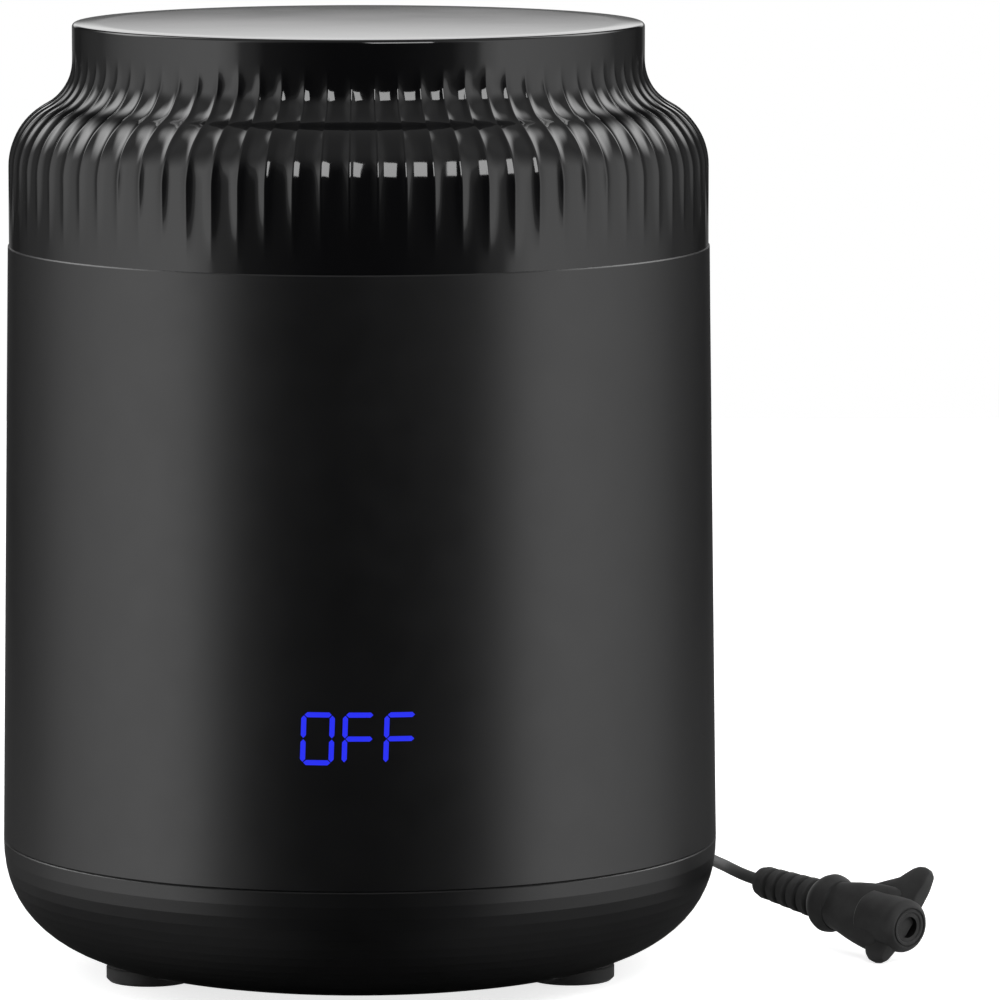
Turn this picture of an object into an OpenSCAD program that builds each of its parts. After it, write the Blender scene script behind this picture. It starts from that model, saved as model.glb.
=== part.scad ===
/* [Body] */
// How much the body's radius grows from the lid seam down to the lower seam
body_taper = 2.6; // [1:0.1:4]
// Height of the lower seam above the table
base_seam_z = 43.3; // [42:0.5:46]
// Height of the lid seam above the table
lid_seam_z = 234.7; // [230:0.5:245]
// Wall of the outer shell
shell_wall = 2.6; // [2:0.1:2.6]
// Depth of the shadow line where two shells meet
seam_groove = 0.4; // [0.2:0.1:0.6]

/* [Base bowl] */
// Width of the rounded corner of the bowl
bowl_corner_w = 54; // [50:1:56]
// Height of the flat underside above the table
underside_z = 3; // [2.5:0.5:4]
// Fullness of the corner, 2 is an ellipse
bowl_fullness = 2.3; // [2:0.1:2.6]
// Wall of the bowl
bowl_wall = 2.6; // [2:0.1:3]
// Height of the spigot that locates the bowl in the body
spigot_h = 5; // [4:0.5:8]
// Wall of the spigot
spigot_wall = 2; // [1.5:0.1:2.5]
// Width of one air slot in the underside
intake_slot_w = 3; // [2:0.5:3.5]
// Distance between air slots in the underside
intake_pitch = 8; // [7:0.5:10]
// Radius of the field of air slots in the underside
intake_r = 29; // [24:1:30]

/* [Feet] */
// Radius of a rubber foot
foot_r = 14; // [12:0.5:15]
// Distance from the axis to a foot
foot_circle_r = 72; // [70:0.5:74]
// Depth of the seat that a foot is glued into
foot_seat = 2; // [1.5:0.1:2.5]
// How far behind the axis's left and right sides the front feet stand back, in degrees
front_foot_angle = 20.5; // [15:0.5:30]

/* [Lid] */
// Whole height of the dryer
total_h = 306; // [302:1:315]
// How far the lid's shoulder stands in from the body
lid_step = 0.4; // [0:0.1:1]
// Height of the shoulder's straight side
shoulder_h = 25.3; // [22:0.5:28]
// How far the neck stands in from the shoulder
neck_step = 20.5; // [17:0.5:24]
// Height of the neck's straight side
neck_h = 12.1; // [10:0.5:15]
// Radius of the outward bend above the shoulder
shoulder_bend_r = 22; // [18:0.5:26]
// Radius of the rounded rim at the very top
top_fillet = 1.2; // [0.6:0.1:2]
// Wall of the lid
lid_wall = 2.6; // [2.2:0.1:2.8]
// Number of flutes around the lid
flute_count = 72; // [60:4:80]
// Depth of a flute
flute_depth = 0.7; // [0.5:0.1:1]
// Plain band under the flutes
flute_base_gap = 2.3; // [2:0.1:5]
// Length over which the flutes fade in above the plain band
flute_run_in = 27; // [20:1:32]
// Plain band above the flutes
flute_top_gap = 8; // [7:0.5:9]
// Length over which the flutes fade out below the top band
flute_run_out = 12; // [8:1:14]
// Thickness of the silicone seal in the lid
seal_t = 1.5; // [1.2:0.1:1.6]
// Height of the silicone seal in the lid
seal_h = 3.4; // [3:0.1:5]

/* [Spool] */
// Diameter of the largest spool
spool_d = 200; // [198:1:201]
// Width of the widest spool
spool_w = 75; // [70:1:76]
// Room between the spool's corners and the chamber wall
spool_room = 0.7; // [0.5:0.1:1.2]

/* [Chamber] */
// Wall of the chamber liner
liner_wall = 1.4; // [1.2:0.1:1.6]
// Room between the liner and the top of the outer shell
liner_gap = 0.9; // [0.5:0.1:1.5]
// Height of the chamber floor's upper face
floor_z = 64; // [62:0.5:66]
// Thickness of the chamber floor
floor_t = 2; // [1.6:0.1:2.4]
// How far the wall of the lower chamber stands in from the upper one, for the electronics
well_step = 17.5; // [16:0.5:20]
// Height at which the lower chamber begins to widen
well_top_z = 100; // [98:1:104]
// Height at which the chamber reaches its full width
cone_top_z = 135; // [132:1:140]
// Height of the collar that stands up inside the lid
collar_h = 6; // [5:0.5:8]
// Thickness of the flange that rests on the outer shell
flange_t = 1.5; // [1.2:0.1:2]
// How far the four posts under the liner stand in from the lower chamber's wall
post_inset = 6; // [5:0.5:9]
// Radius of a post
post_r = 5; // [4.5:0.5:6]
// Height of the joint between a post and the base shell
post_joint_z = 30; // [28:1:33]

/* [Rollers] */
// Radius of a roller over its rubber sleeves
roller_r = 9.5; // [9:0.1:10]
// Thickness of the rubber sleeves
sleeve_t = 1.5; // [1:0.1:1.8]
// Width of one rubber sleeve
sleeve_w = 22; // [16:1:26]
// Length of a roller
roller_len = 80; // [78:1:84]
// Distance from the centre to each roller's axle
roller_y = 45; // [42:1:48]
// Room between a roller and the chamber floor
roller_floor_room = 1; // [0.5:0.1:2]
// Radius of an axle
axle_r = 2.5; // [2:0.1:3]
// Outside radius of a ball bearing
bearing_r = 6.5; // [6.3:0.1:6.8]
// Width of a ball bearing
bearing_w = 5; // [4:0.5:6]
// Thickness of a bearing's inner ring
bearing_ring_t = 1.4; // [1.2:0.1:1.5]
// Thickness of the side plates that carry the axles
cradle_t = 3.5; // [3:0.5:4.5]
// Room between a roller's end and a side plate
roller_end_room = 2; // [1.5:0.5:3]
// Width of the cradle's mounting strips
cradle_strip_w = 12; // [11:0.5:14]
// Thickness of the cradle's mounting strips
cradle_strip_t = 2.5; // [2:0.5:3]

/* [Heater] */
// Inside width of the square air duct
duct_w = 56; // [54:1:57]
// Wall of the air duct
duct_wall = 2; // [1.6:0.1:2.2]
// Height of the air duct
duct_h = 19; // [18:0.5:20]
// Height of the heater block
heater_h = 12; // [10:0.5:13]
// Number of rows of fins in the heater
fin_rows = 3; // [2:1:3]
// Thickness of one fin
fin_t = 0.4; // [0.3:0.1:0.5]
// Distance between fins
fin_pitch = 2.4; // [2.2:0.1:3]
// Thickness of a heating bar
bar_t = 3; // [2.5:0.5:4]
// Thickness of the heater's frame
heater_frame_t = 2; // [1.5:0.1:2.5]
// Width of one air slot in the chamber floor
grille_slot_w = 3; // [2:0.5:3.5]
// Distance between the chamber floor's air slots
grille_pitch = 6; // [5.5:0.5:8]
// Thickness of the chamber floor's grille
grille_t = 1.6; // [1.2:0.1:2]

/* [Fan] */
// Width of the square fan
fan_w = 60; // [60:0.5:62]
// Thickness of the fan
fan_t = 15; // [14:0.5:16]
// Radius of the fan's air passage
fan_bore_r = 28.5; // [28:0.1:29]
// How far a mounting hole of the fan stands in from the frame's edges
fan_hole_inset = 5; // [4.5:0.1:5.5]
// Radius of the fan's hub
hub_r = 12; // [11:0.5:13]
// Wall of the fan's hub
hub_wall = 1.2; // [1:0.1:1.5]
// Number of fan blades
blade_count = 7; // [5:1:9]
// Thickness of a fan blade
blade_t = 1.2; // [1:0.1:1.6]
// Room between the blade tips and the frame
tip_room = 0.9; // [0.6:0.1:1.5]
// Radius of the fan's shaft
fan_shaft_r = 1.5; // [1.2:0.1:1.8]

/* [Electronics] */
// Length of the control board
board_l = 80; // [76:1:82]
// Width of the control board
board_w = 44; // [42:1:46]
// Thickness of a circuit board
board_t = 1.6; // [1.2:0.1:2]
// Height of the control board's underside
board_z = 14; // [13:0.5:15]
// Distance from the axis to the control board's near edge
board_y = 36; // [35:0.5:38]
// Width of the display module
display_w = 46; // [44:1:48]
// Height of the display module
display_h = 22; // [20:0.5:24]
// Depth of the display module
display_t = 7; // [6:0.5:7]
// Height of the middle of the digits
display_z = 91.3; // [90:0.5:92]
// Width of the display board
display_board_w = 72; // [70:1:74]
// Height of the display board
display_board_h = 30; // [28:1:31]
// Height of one digit
digit_h = 16.5; // [14:0.5:17]
// Width of one digit
digit_w = 9.6; // [8:0.2:10]
// Distance between digits
digit_pitch = 12.8; // [12:0.1:14]
// Width of one lit segment
segment_w = 1.6; // [1.2:0.1:1.8]
// Lean of the digits in degrees
digit_lean = 2; // [0:1:8]
// Radius of a touch spring
touch_r = 4; // [3.5:0.1:4.5]

/* [Filament outlet] */
// Radius of the bore that takes a 4 mm feed tube
outlet_bore_r = 2.1; // [2.05:0.01:2.2]
// Radius of the outlet's sleeve
outlet_r = 4.5; // [4:0.1:5]
// Radius of the outlet's flange
outlet_flange_r = 7.5; // [7:0.1:9]
// How far the outlet's axis lies below the lid seam
outlet_drop = 34.7; // [30:0.5:45]

/* [Cord] */
// Diameter of the cord
cord_d = 4; // [3.8:0.1:4]
// Height of the cord's gland above the table
gland_z = 58; // [57:0.5:60]
// Length of the gland outside the body
gland_len = 16; // [14:1:20]
// Radius of the gland's flexible part at the wall
gland_r = 5.5; // [5:0.1:6]
// Outside diameter of the coil, across its outer turns
coil_d = 56; // [54:1:58]
// Number of turns in one layer of the coil
coil_turns = 3; // [3:1:4]
// Whole length of the connector
connector_len = 74; // [72:1:80]
// Radius of the connector's round nose
nose_r = 8.8; // [8:0.1:9.5]
// Span across the connector's two wings
wing_span = 36; // [34:1:38]
// Radius of the connector's socket
socket_r = 3.5; // [3:0.1:4]

/* [Hidden] */
$fn = 64;

// Clearances between neighbouring pieces
loose = 0.3;
seat = 0.1;
running = 0.05;
eps = 0.01;

// Radii, from the spool outward
chamber_r = norm([spool_d / 2, spool_w / 2]) + spool_room;
well_r = chamber_r - well_step;
post_circle_r = well_r - post_inset;
body_top_r = chamber_r + liner_wall + liner_gap + shell_wall;
body_base_r = body_top_r + body_taper;
shoulder_r = body_top_r - lid_step;
neck_r = shoulder_r - neck_step;

body_slope = (body_base_r - body_top_r) / (lid_seam_z - base_seam_z);
function body_r(z) = body_base_r - (z - base_seam_z) * body_slope;

// Base bowl
bowl_corner_h = base_seam_z - underside_z;
foot_seat_z = underside_z + foot_seat;
foot_angles = [90, 180 + front_foot_angle, -front_foot_angle];
board_screw_r = 1.2;
foot_boss_t = 3;
screw_r = 2;
screw_head_r = 3.6;
screw_head_t = 2.4;
screw_floor_z = 15;
function bowl_point(t, w, h, rc) =
    [rc + w * pow(cos(t), 2 / bowl_fullness), base_seam_z - h * pow(sin(t), 2 / bowl_fullness)];
function bowl_curve(wall) = [for (t = [0 : 5 : 90])
    bowl_point(t, bowl_corner_w - wall, bowl_corner_h - wall, body_base_r - bowl_corner_w)];

// Chamber
collar_top_z = lid_seam_z + collar_h;
outlet_z = lid_seam_z - outlet_drop;
post_drop = 14;

// Lid
lid_inner_r = shoulder_r - lid_wall;
shoulder_z = lid_seam_z + shoulder_h;
neck_z = total_h - neck_h;
bend_sum = (pow(shoulder_r - neck_r, 2) + pow(neck_z - shoulder_z, 2)) / (2 * (shoulder_r - neck_r));
neck_bend_r = bend_sum - shoulder_bend_r;
bend_angle = acos((bend_sum - (shoulder_r - neck_r)) / bend_sum);
function shoulder_point(a, off) =
    [shoulder_r - shoulder_bend_r + (shoulder_bend_r - off) * cos(a),
     shoulder_z + (shoulder_bend_r - off) * sin(a)];
function neck_point(a, off) =
    [neck_r + neck_bend_r - (neck_bend_r + off) * cos(a), neck_z - (neck_bend_r + off) * sin(a)];
function lid_curve(off, steps) = concat(
    [for (i = [0 : steps]) shoulder_point(bend_angle * i / steps, off)],
    [for (i = [steps - 1 : -1 : 0]) neck_point(bend_angle * i / steps, off)]);
seal_r = chamber_r + liner_wall + loose;
seal_outer_r = seal_r + seal_t;

// Rollers and their cradle
roller_z = floor_z + roller_floor_room + roller_r;
tube_r = roller_r - sleeve_t;
plate_x = roller_len / 2 + roller_end_room;
plate_foot_y = roller_y + 12;
axle_len = plate_x + cradle_t + 3;
strip_x = plate_x + cradle_t;
cradle_screw_x = strip_x + cradle_strip_w / 2;
cradle_screw_y = 30;
clip_t = 0.8;
bearing_x = roller_len / 2 - bearing_w / 2 - 0.6;
sleeve_x = roller_len / 2 - 2 - sleeve_w / 2;

// Air path
duct_top_z = floor_z - floor_t;
duct_bottom_z = duct_top_z - duct_h;
duct_outer_w = duct_w + 2 * duct_wall;
duct_lug_r = 4.5;
duct_lug_t = 3;
duct_lug_z = duct_bottom_z + 7;
duct_screw_p = duct_outer_w / 2 + 4;
duct_screw_len = 14;
duct_screw_grip = 6;
small_head_t = 1.6;
heater_z = duct_top_z - 2 - heater_h;
heater_w = duct_w - 2 * loose;
heater_inner_w = heater_w - 2 * heater_frame_t;
row_h = (heater_inner_w - (fin_rows + 1) * bar_t) / fin_rows;
grille_r = 27;
fan_z = duct_bottom_z - fan_t;
fan_hole_r = 2.15;
fan_hole_p = fan_w / 2 - fan_hole_inset;
blade_tip_r = fan_bore_r - tip_room;

// Electronics
display_y = -(body_r(display_z) - shell_wall - 2.8);
display_board_y = display_y + display_t;
touch_x = 29;
sensor_z = 84;
sensor_neck_r = 4;
sensor_dome_r = 6.5;
ribbon_w = 8;
ribbon_t = 0.8;
ribbon_x = 20;

// Cord: the route's points, on the axis of the cord
cord_r = cord_d / 2;
gland_wall_y = body_r(gland_z);
gland_end_y = gland_wall_y + gland_len;
sheath_inside = 12;
gland_thread_r = 4.5;
coil_centre = [30, 184];
coil_layers = 2;
lead_points = [[0, gland_wall_y, gland_z], [0, gland_end_y + 3, gland_z], [0, 140, 57], [0, 145, 53],
    [0, 149, 48], [0, 150, 42], [0, 150, 34], [0, 150, 26], [0, 150, 18], [0, 151, 12], [1, 155, 7],
    [2, 160, 3], [4, 169, 2]];
tail_points = [[46, 209.2, 6], [54, 210.8, 5], [64, 212, 3], [76, 212, 2], [88, 212, 2], [99, 211.4, 2],
    [108, 208.6, 2], [115, 203.4, 2], [119.4, 196, 2.3], [121.4, 187, 3.4], [121.9, 176, 4.9],
    [122, 164, 6.6], [122, 150, 8.6], [122.2, 135, 10.7], [122.4, 120, 12.8], [122.6, 105, 14.9],
    [122.8, 90, 17], [123.2, 79, 18.3], [124.6, 71, 18.8], [127.7, 64.2, 18.2], [132.5, 57.9, 17.6]];
connector_tail = [132.5, 57.9, 17.6];
connector_yaw = -52;
connector_pitch = 4.5;
connector_roll = 54;
relief_len = 31;
relief_r = 5.4;
collar_r = 9.8;
collar_len = 9;
nose_len = 14;
wing_t = 5;
wing_rise = 3.2;

// Shared shapes
module ring(r_out, r_in, z, h) {
    translate([0, 0, z]) difference() {
        cylinder(r = r_out, h = h);
        translate([0, 0, -1]) cylinder(r = r_in, h = h + 2);
    }
}

module at_corners(px, py) {
    for (x = [-px, px], y = [-py, py]) translate([x, y, 0]) children();
}

module at_posts() {
    for (a = [45 : 90 : 315]) rotate([0, 0, a]) translate([post_circle_r, 0, 0]) rotate([0, 0, -a]) children();
}

// A pan-head screw standing on its head, with the head's top at the origin
module screw(len, r, head_r, head_t) {
    rotate_extrude() polygon([[0, 0], [head_r - 0.6, 0], [head_r, 0.6], [head_r, head_t],
        [r, head_t], [r, head_t + len - r], [0, head_t + len]]);
}

module along_x(x0, x1, r) {
    translate([x0, 0, 0]) rotate([0, 90, 0]) cylinder(r = r, h = x1 - x0);
}

// A field of parallel round-ended slots inside a circle
module slot_field(field_r, slot_w, pitch, z, h) {
    n = floor((field_r - slot_w) / pitch);
    for (i = [-n : n]) {
        half = sqrt(pow(field_r, 2) - pow(i * pitch, 2)) - slot_w / 2;
        translate([i * pitch - slot_w / 2, -half, z]) cube([slot_w, 2 * half, h]);
        for (s = [-1, 1]) translate([i * pitch, s * half, z]) cylinder(r = slot_w / 2, h = h);
    }
}

// Body shells
module outer_shell() {
    color([0.05, 0.05, 0.055]) difference() {
        rotate_extrude($fn = 128) polygon([
            [body_r(base_seam_z) - shell_wall, base_seam_z],
            [body_r(base_seam_z) - seam_groove, base_seam_z],
            [body_r(base_seam_z), base_seam_z + seam_groove],
            [body_r(lid_seam_z), lid_seam_z - seam_groove],
            [body_r(lid_seam_z) - seam_groove, lid_seam_z],
            [body_r(lid_seam_z) - seam_groove - loose, lid_seam_z],
            [body_r(lid_seam_z) - seam_groove - loose, lid_seam_z - flange_t],
            [body_r(lid_seam_z) - shell_wall, lid_seam_z - flange_t]]);
        translate([0, gland_wall_y - 6, gland_z]) rotate([-90, 0, 0]) cylinder(r = gland_thread_r + seat, h = 12);
        translate([0, body_r(outlet_z) - 6, outlet_z]) rotate([-90, 0, 0]) cylinder(r = outlet_r + seat, h = 12);
    }
}

module bowl_solid() {
    rotate_extrude($fn = 128) polygon(concat(
        [[0, base_seam_z], [body_base_r - seam_groove, base_seam_z],
         [body_base_r, base_seam_z - seam_groove]],
        [for (p = bowl_curve(0)) if (p[1] < base_seam_z - seam_groove) p],
        [[0, underside_z]]));
}

module bowl_hollow() {
    rotate_extrude($fn = 128) polygon(concat(
        [[0, base_seam_z + 1], [body_base_r - bowl_wall, base_seam_z + 1]],
        bowl_curve(bowl_wall), [[0, underside_z + bowl_wall]]));
}

module at_feet() {
    for (a = foot_angles) rotate([0, 0, a]) translate([foot_circle_r, 0, 0]) children();
}

module at_board_screws() {
    for (x = [-1, 1], y = [board_y + 4, board_y + board_w - 4])
        translate([x * (board_l / 2 - 4), y, 0]) children();
}

module base_shell() {
    color([0.05, 0.05, 0.055]) difference() {
        union() {
            difference() {
                bowl_solid();
                bowl_hollow();
            }
            intersection() {
                bowl_solid();
                union() {
                    at_feet() cylinder(r = foot_r + 2, h = foot_seat_z + foot_boss_t);
                    at_posts() cylinder(r = post_r + 0.5, h = post_joint_z);
                    at_board_screws() cylinder(r = 3, h = board_z);
                }
            }
            rotate_extrude($fn = 128) polygon([
                [body_base_r - bowl_wall, base_seam_z - 6],
                [body_base_r - bowl_wall - loose, base_seam_z],
                [body_base_r - bowl_wall - loose, base_seam_z + spigot_h],
                [body_base_r - bowl_wall - loose - spigot_wall, base_seam_z + spigot_h],
                [body_base_r - bowl_wall - loose - spigot_wall, base_seam_z],
                [body_base_r - bowl_wall - 1, base_seam_z - 6]]);
        }
        at_feet() translate([0, 0, -1]) cylinder(r = foot_r + seat, h = foot_seat_z + 1);
        at_posts() {
            translate([0, 0, -1]) cylinder(r = screw_r + seat, h = post_joint_z + 2);
            translate([0, 0, -1]) cylinder(r = screw_head_r + loose, h = screw_floor_z + 1);
        }
        at_board_screws() translate([0, 0, board_z - 6]) cylinder(r = board_screw_r - 0.2, h = 7);
        slot_field(intake_r, intake_slot_w, intake_pitch, underside_z - 1, bowl_wall + 2);
    }
}

module rubber_feet() {
    color([0.03, 0.03, 0.03]) at_feet() rotate_extrude() polygon([[0, 0], [foot_r - 1, 0], [foot_r, 1],
        [foot_r, foot_seat_z - 0.4], [foot_r - 0.4, foot_seat_z], [0, foot_seat_z]]);
}

module base_screws() {
    color([0.75, 0.76, 0.78]) at_posts() translate([0, 0, screw_floor_z - screw_head_t])
        screw(post_joint_z - screw_floor_z + post_drop - 2, screw_r, screw_head_r, screw_head_t);
}

// Chamber
module at_display_screws(y) {
    for (x = [-1, 1]) translate([x * (display_board_w / 2 - 3), y, display_z - 11])
        rotate([-90, 0, 0]) children();
}

module chamber_liner() {
    color([0.1, 0.1, 0.11]) difference() {
        union() {
            rotate_extrude($fn = 128) polygon([
                [0, floor_z - floor_t], [well_r + liner_wall, floor_z - floor_t],
                [well_r + liner_wall, well_top_z], [chamber_r + liner_wall, cone_top_z],
                [chamber_r + liner_wall, lid_seam_z - flange_t],
                [body_r(lid_seam_z) - seam_groove - loose - seat, lid_seam_z - flange_t],
                [body_r(lid_seam_z) - seam_groove - loose - seat, lid_seam_z],
                [chamber_r + liner_wall, lid_seam_z],
                [chamber_r + liner_wall, collar_top_z - 0.6],
                [chamber_r + liner_wall - 0.6, collar_top_z],
                [chamber_r, collar_top_z], [chamber_r, cone_top_z],
                [well_r, well_top_z], [well_r, floor_z], [0, floor_z]]);
            at_posts() translate([0, 0, post_joint_z])
                cylinder(r = post_r, h = floor_z - floor_t - post_joint_z + eps);
            at_corners(duct_screw_p, duct_screw_p) translate([0, 0, duct_lug_z + duct_lug_t])
                cylinder(r = duct_lug_r, h = duct_top_z - duct_lug_z - duct_lug_t + eps);
            difference() {
                at_display_screws(display_board_y + board_t) cylinder(r = 3, h = 25);
                translate([0, 0, floor_z]) cylinder(r = well_r + 0.5, h = 40);
            }
        }
        at_display_screws(display_board_y + board_t - 1) cylinder(r = 1, h = 8);
        at_posts() translate([0, 0, post_joint_z - 1]) cylinder(r = screw_r + seat, h = post_drop + 1);
        at_corners(duct_screw_p, duct_screw_p) translate([0, 0, duct_lug_z])
            cylinder(r = board_screw_r + seat, h = duct_lug_t + duct_screw_len - 5);
        at_corners(cradle_screw_x, cradle_screw_y) translate([0, 0, floor_z - floor_t - 1])
            cylinder(r = screw_r + seat, h = floor_t + 2);
        translate([0, 0, floor_z - floor_t - 1]) cylinder(r = grille_r, h = floor_t + 2);
        translate([0, 0, floor_z - grille_t / 2]) cylinder(r = grille_r + 3 + seat, h = grille_t);
        translate([0, well_r - 4, sensor_z]) rotate([-90, 0, 0]) cylinder(r = sensor_neck_r + seat, h = 10);
        translate([0, chamber_r - 4, outlet_z]) rotate([-90, 0, 0]) cylinder(r = outlet_r + seat, h = 10);
    }
}

module floor_grille() {
    color([0.07, 0.07, 0.07]) difference() {
        translate([0, 0, floor_z - grille_t / 2]) cylinder(r = grille_r + 3, h = grille_t / 2 + 0.4);
        slot_field(grille_r - 1, grille_slot_w, grille_pitch, floor_z - grille_t, 2 * grille_t);
    }
}

module cradle_profile() {
    difference() {
        union() {
            translate([-plate_foot_y, floor_z]) square([2 * plate_foot_y, cradle_strip_t + 2]);
            for (s = [-1, 1]) {
                translate([s * roller_y, roller_z]) circle(r = 6);
                translate([s * roller_y - 6, floor_z]) square([12, roller_z - floor_z]);
            }
        }
        for (s = [-1, 1]) translate([s * roller_y, roller_z]) circle(r = axle_r + seat);
    }
}

module roller_cradle() {
    color([0.12, 0.12, 0.13]) difference() {
        union() {
            for (s = [-1, 1]) {
                translate([s < 0 ? -strip_x : plate_x, 0, 0]) rotate([90, 0, 90])
                    linear_extrude(cradle_t) cradle_profile();
                translate([s < 0 ? -strip_x - cradle_strip_w : strip_x, -plate_foot_y, floor_z])
                    cube([cradle_strip_w, 2 * plate_foot_y, cradle_strip_t]);
            }
            for (s = [-1, 1]) translate([-plate_x - 1, s * (plate_foot_y - 4) - 2, floor_z])
                cube([2 * plate_x + 2, 4, cradle_strip_t - 0.5]);
        }
        at_corners(cradle_screw_x, cradle_screw_y) translate([0, 0, floor_z - 1])
            cylinder(r = screw_r + seat, h = cradle_strip_t + 2);
    }
}

module cradle_screws() {
    color([0.75, 0.76, 0.78]) at_corners(cradle_screw_x, cradle_screw_y)
        translate([0, 0, floor_z + cradle_strip_t + screw_head_t]) mirror([0, 0, 1])
            screw(cradle_strip_t + floor_t + 2, screw_r, screw_head_r, screw_head_t);
}

// Rollers on ball bearings
module at_axles() {
    for (s = [-1, 1]) translate([0, s * roller_y, roller_z]) children();
}

module roller_axles() {
    color([0.8, 0.8, 0.82]) at_axles() difference() {
        along_x(-axle_len, axle_len, axle_r);
        for (s = [-1, 1]) translate([s * (strip_x + seat + clip_t / 2), 0, 0]) rotate([0, 90, 0])
            ring(axle_r + 1, axle_r - 0.5, -clip_t / 2, clip_t);
    }
}

module axle_clips() {
    color([0.55, 0.56, 0.58]) at_axles() for (s = [-1, 1])
        translate([s * (strip_x + seat + clip_t / 2), 0, 0]) rotate([0, 90, 0]) difference() {
            ring(axle_r + 2, axle_r - 0.4, 0.05 - clip_t / 2, clip_t - 0.1);
            translate([-1.2, 0, -clip_t]) cube([2.4, axle_r + 3, 2 * clip_t]);
        }
}

module bearing_inner_rings() {
    color([0.8, 0.81, 0.83]) at_axles() for (s = [-1, 1])
        translate([s * bearing_x, 0, 0]) rotate([0, 90, 0])
            ring(axle_r + bearing_ring_t, axle_r + 0.02, -bearing_w / 2, bearing_w);
}

module bearings(s) {
    color([0.7, 0.71, 0.73]) translate([0, s * roller_y, roller_z]) for (e = [-1, 1])
        translate([e * bearing_x, 0, 0]) rotate([0, 90, 0])
            ring(bearing_r, axle_r + bearing_ring_t + running, 0.2 - bearing_w / 2, bearing_w - 0.4);
}

module roller(s) {
    color([0.14, 0.14, 0.15]) translate([0, s * roller_y, roller_z]) difference() {
        union() {
            along_x(-roller_len / 2, roller_len / 2, tube_r - 0.6);
            along_x(-roller_len / 2 + 1, roller_len / 2 - 1, tube_r);
        }
        for (e = [-1, 1]) translate([e * sleeve_x, 0, 0]) rotate([0, 90, 0])
            ring(roller_r, tube_r - 0.8, -sleeve_w / 2, sleeve_w);
        along_x(-roller_len, roller_len, axle_r + 1.5);
        for (e = [-1, 1]) translate([e * bearing_x, 0, 0])
            along_x(-bearing_w / 2 - (e < 0 ? 5 : 0), bearing_w / 2 + (e > 0 ? 5 : 0), bearing_r + 0.02);
    }
}

module roller_sleeves(s) {
    color([0.03, 0.03, 0.03]) translate([0, s * roller_y, roller_z]) for (e = [-1, 1])
        translate([e * sleeve_x, 0, 0]) rotate([0, 90, 0]) difference() {
            ring(roller_r, tube_r - 0.8 + 0.02, -sleeve_w / 2 + 0.05, sleeve_w - 0.1);
            for (i = [-3 : 3]) ring(roller_r + 1, roller_r - 0.5, i * sleeve_w / 8 - 0.5, 1);
        }
}

module front_roller() { roller(-1); }
module rear_roller() { roller(1); }
module front_roller_sleeves() { roller_sleeves(-1); }
module rear_roller_sleeves() { roller_sleeves(1); }
module front_bearings() { bearings(-1); }
module rear_bearings() { bearings(1); }

// Air path: fan, heater and duct
module square_tube(w_out, w_in, z, h) {
    difference() {
        translate([-w_out / 2, -w_out / 2, z]) cube([w_out, w_out, h]);
        translate([-w_in / 2, -w_in / 2, z - 1]) cube([w_in, w_in, h + 2]);
    }
}

module heater_duct() {
    color([0.85, 0.84, 0.8]) difference() {
        union() {
            square_tube(duct_outer_w, duct_w, duct_bottom_z, duct_h);
            at_corners(duct_screw_p, duct_screw_p) translate([0, 0, duct_lug_z])
                cylinder(r = duct_lug_r, h = duct_lug_t);
            for (a = [45 : 90 : 315]) rotate([0, 0, a])
                translate([duct_outer_w / sqrt(2) - 1.4, -3, duct_lug_z]) cube([6, 6, duct_lug_t]);
            at_corners(fan_hole_p, fan_hole_p) translate([0, 0, duct_bottom_z])
                cylinder(r = 3.4, h = heater_z - duct_bottom_z - loose);
        }
        at_corners(duct_screw_p, duct_screw_p) translate([0, 0, duct_lug_z - 1])
            cylinder(r = board_screw_r + 0.3 + seat, h = duct_lug_t + 2);
        at_corners(fan_hole_p, fan_hole_p) translate([0, 0, duct_bottom_z - 1])
            cylinder(r = 1.5 + seat, h = 5);
    }
}

module duct_screws() {
    color([0.75, 0.76, 0.78]) at_corners(duct_screw_p, duct_screw_p)
        translate([0, 0, duct_lug_z - small_head_t])
            screw(duct_lug_t + duct_screw_grip, board_screw_r, board_screw_r * 2, small_head_t);
}

module heater_frame() {
    color([0.8, 0.76, 0.66]) square_tube(heater_w, heater_inner_w, heater_z, heater_h);
}

module heater_bars() {
    color([0.62, 0.63, 0.65]) for (i = [0 : fin_rows])
        translate([-heater_inner_w / 2, -heater_inner_w / 2 + i * (row_h + bar_t), heater_z + 1])
            cube([heater_inner_w, bar_t, heater_h - 2]);
}

module heater_fins() {
    n = floor((heater_inner_w / 2 - fin_t) / fin_pitch);
    color([0.8, 0.81, 0.83]) for (i = [0 : fin_rows - 1])
        translate([0, -heater_inner_w / 2 + bar_t + i * (row_h + bar_t), heater_z + 1.5])
            linear_extrude(heater_h - 3) union() {
                for (k = [-n : n]) translate([k * fin_pitch - fin_t / 2, 0]) square([fin_t, row_h]);
                for (k = [-n : n - 1]) translate([k * fin_pitch, (k + n) % 2 == 0 ? 0 : row_h - fin_t])
                    square([fin_pitch, fin_t]);
            }
}

module thermal_fuse() {
    color([0.75, 0.72, 0.6]) translate([0, heater_inner_w / 2 - bar_t / 2, heater_z + heater_h - 1 + 1.5 + eps])
        rotate([0, 90, 0]) rotate_extrude($fn = 32) polygon([[0, -10], [0.5, -10], [0.5, -6], [1.5, -5.4],
            [1.5, 5.4], [0.5, 6], [0.5, 10], [0, 10]]);
}

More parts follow.
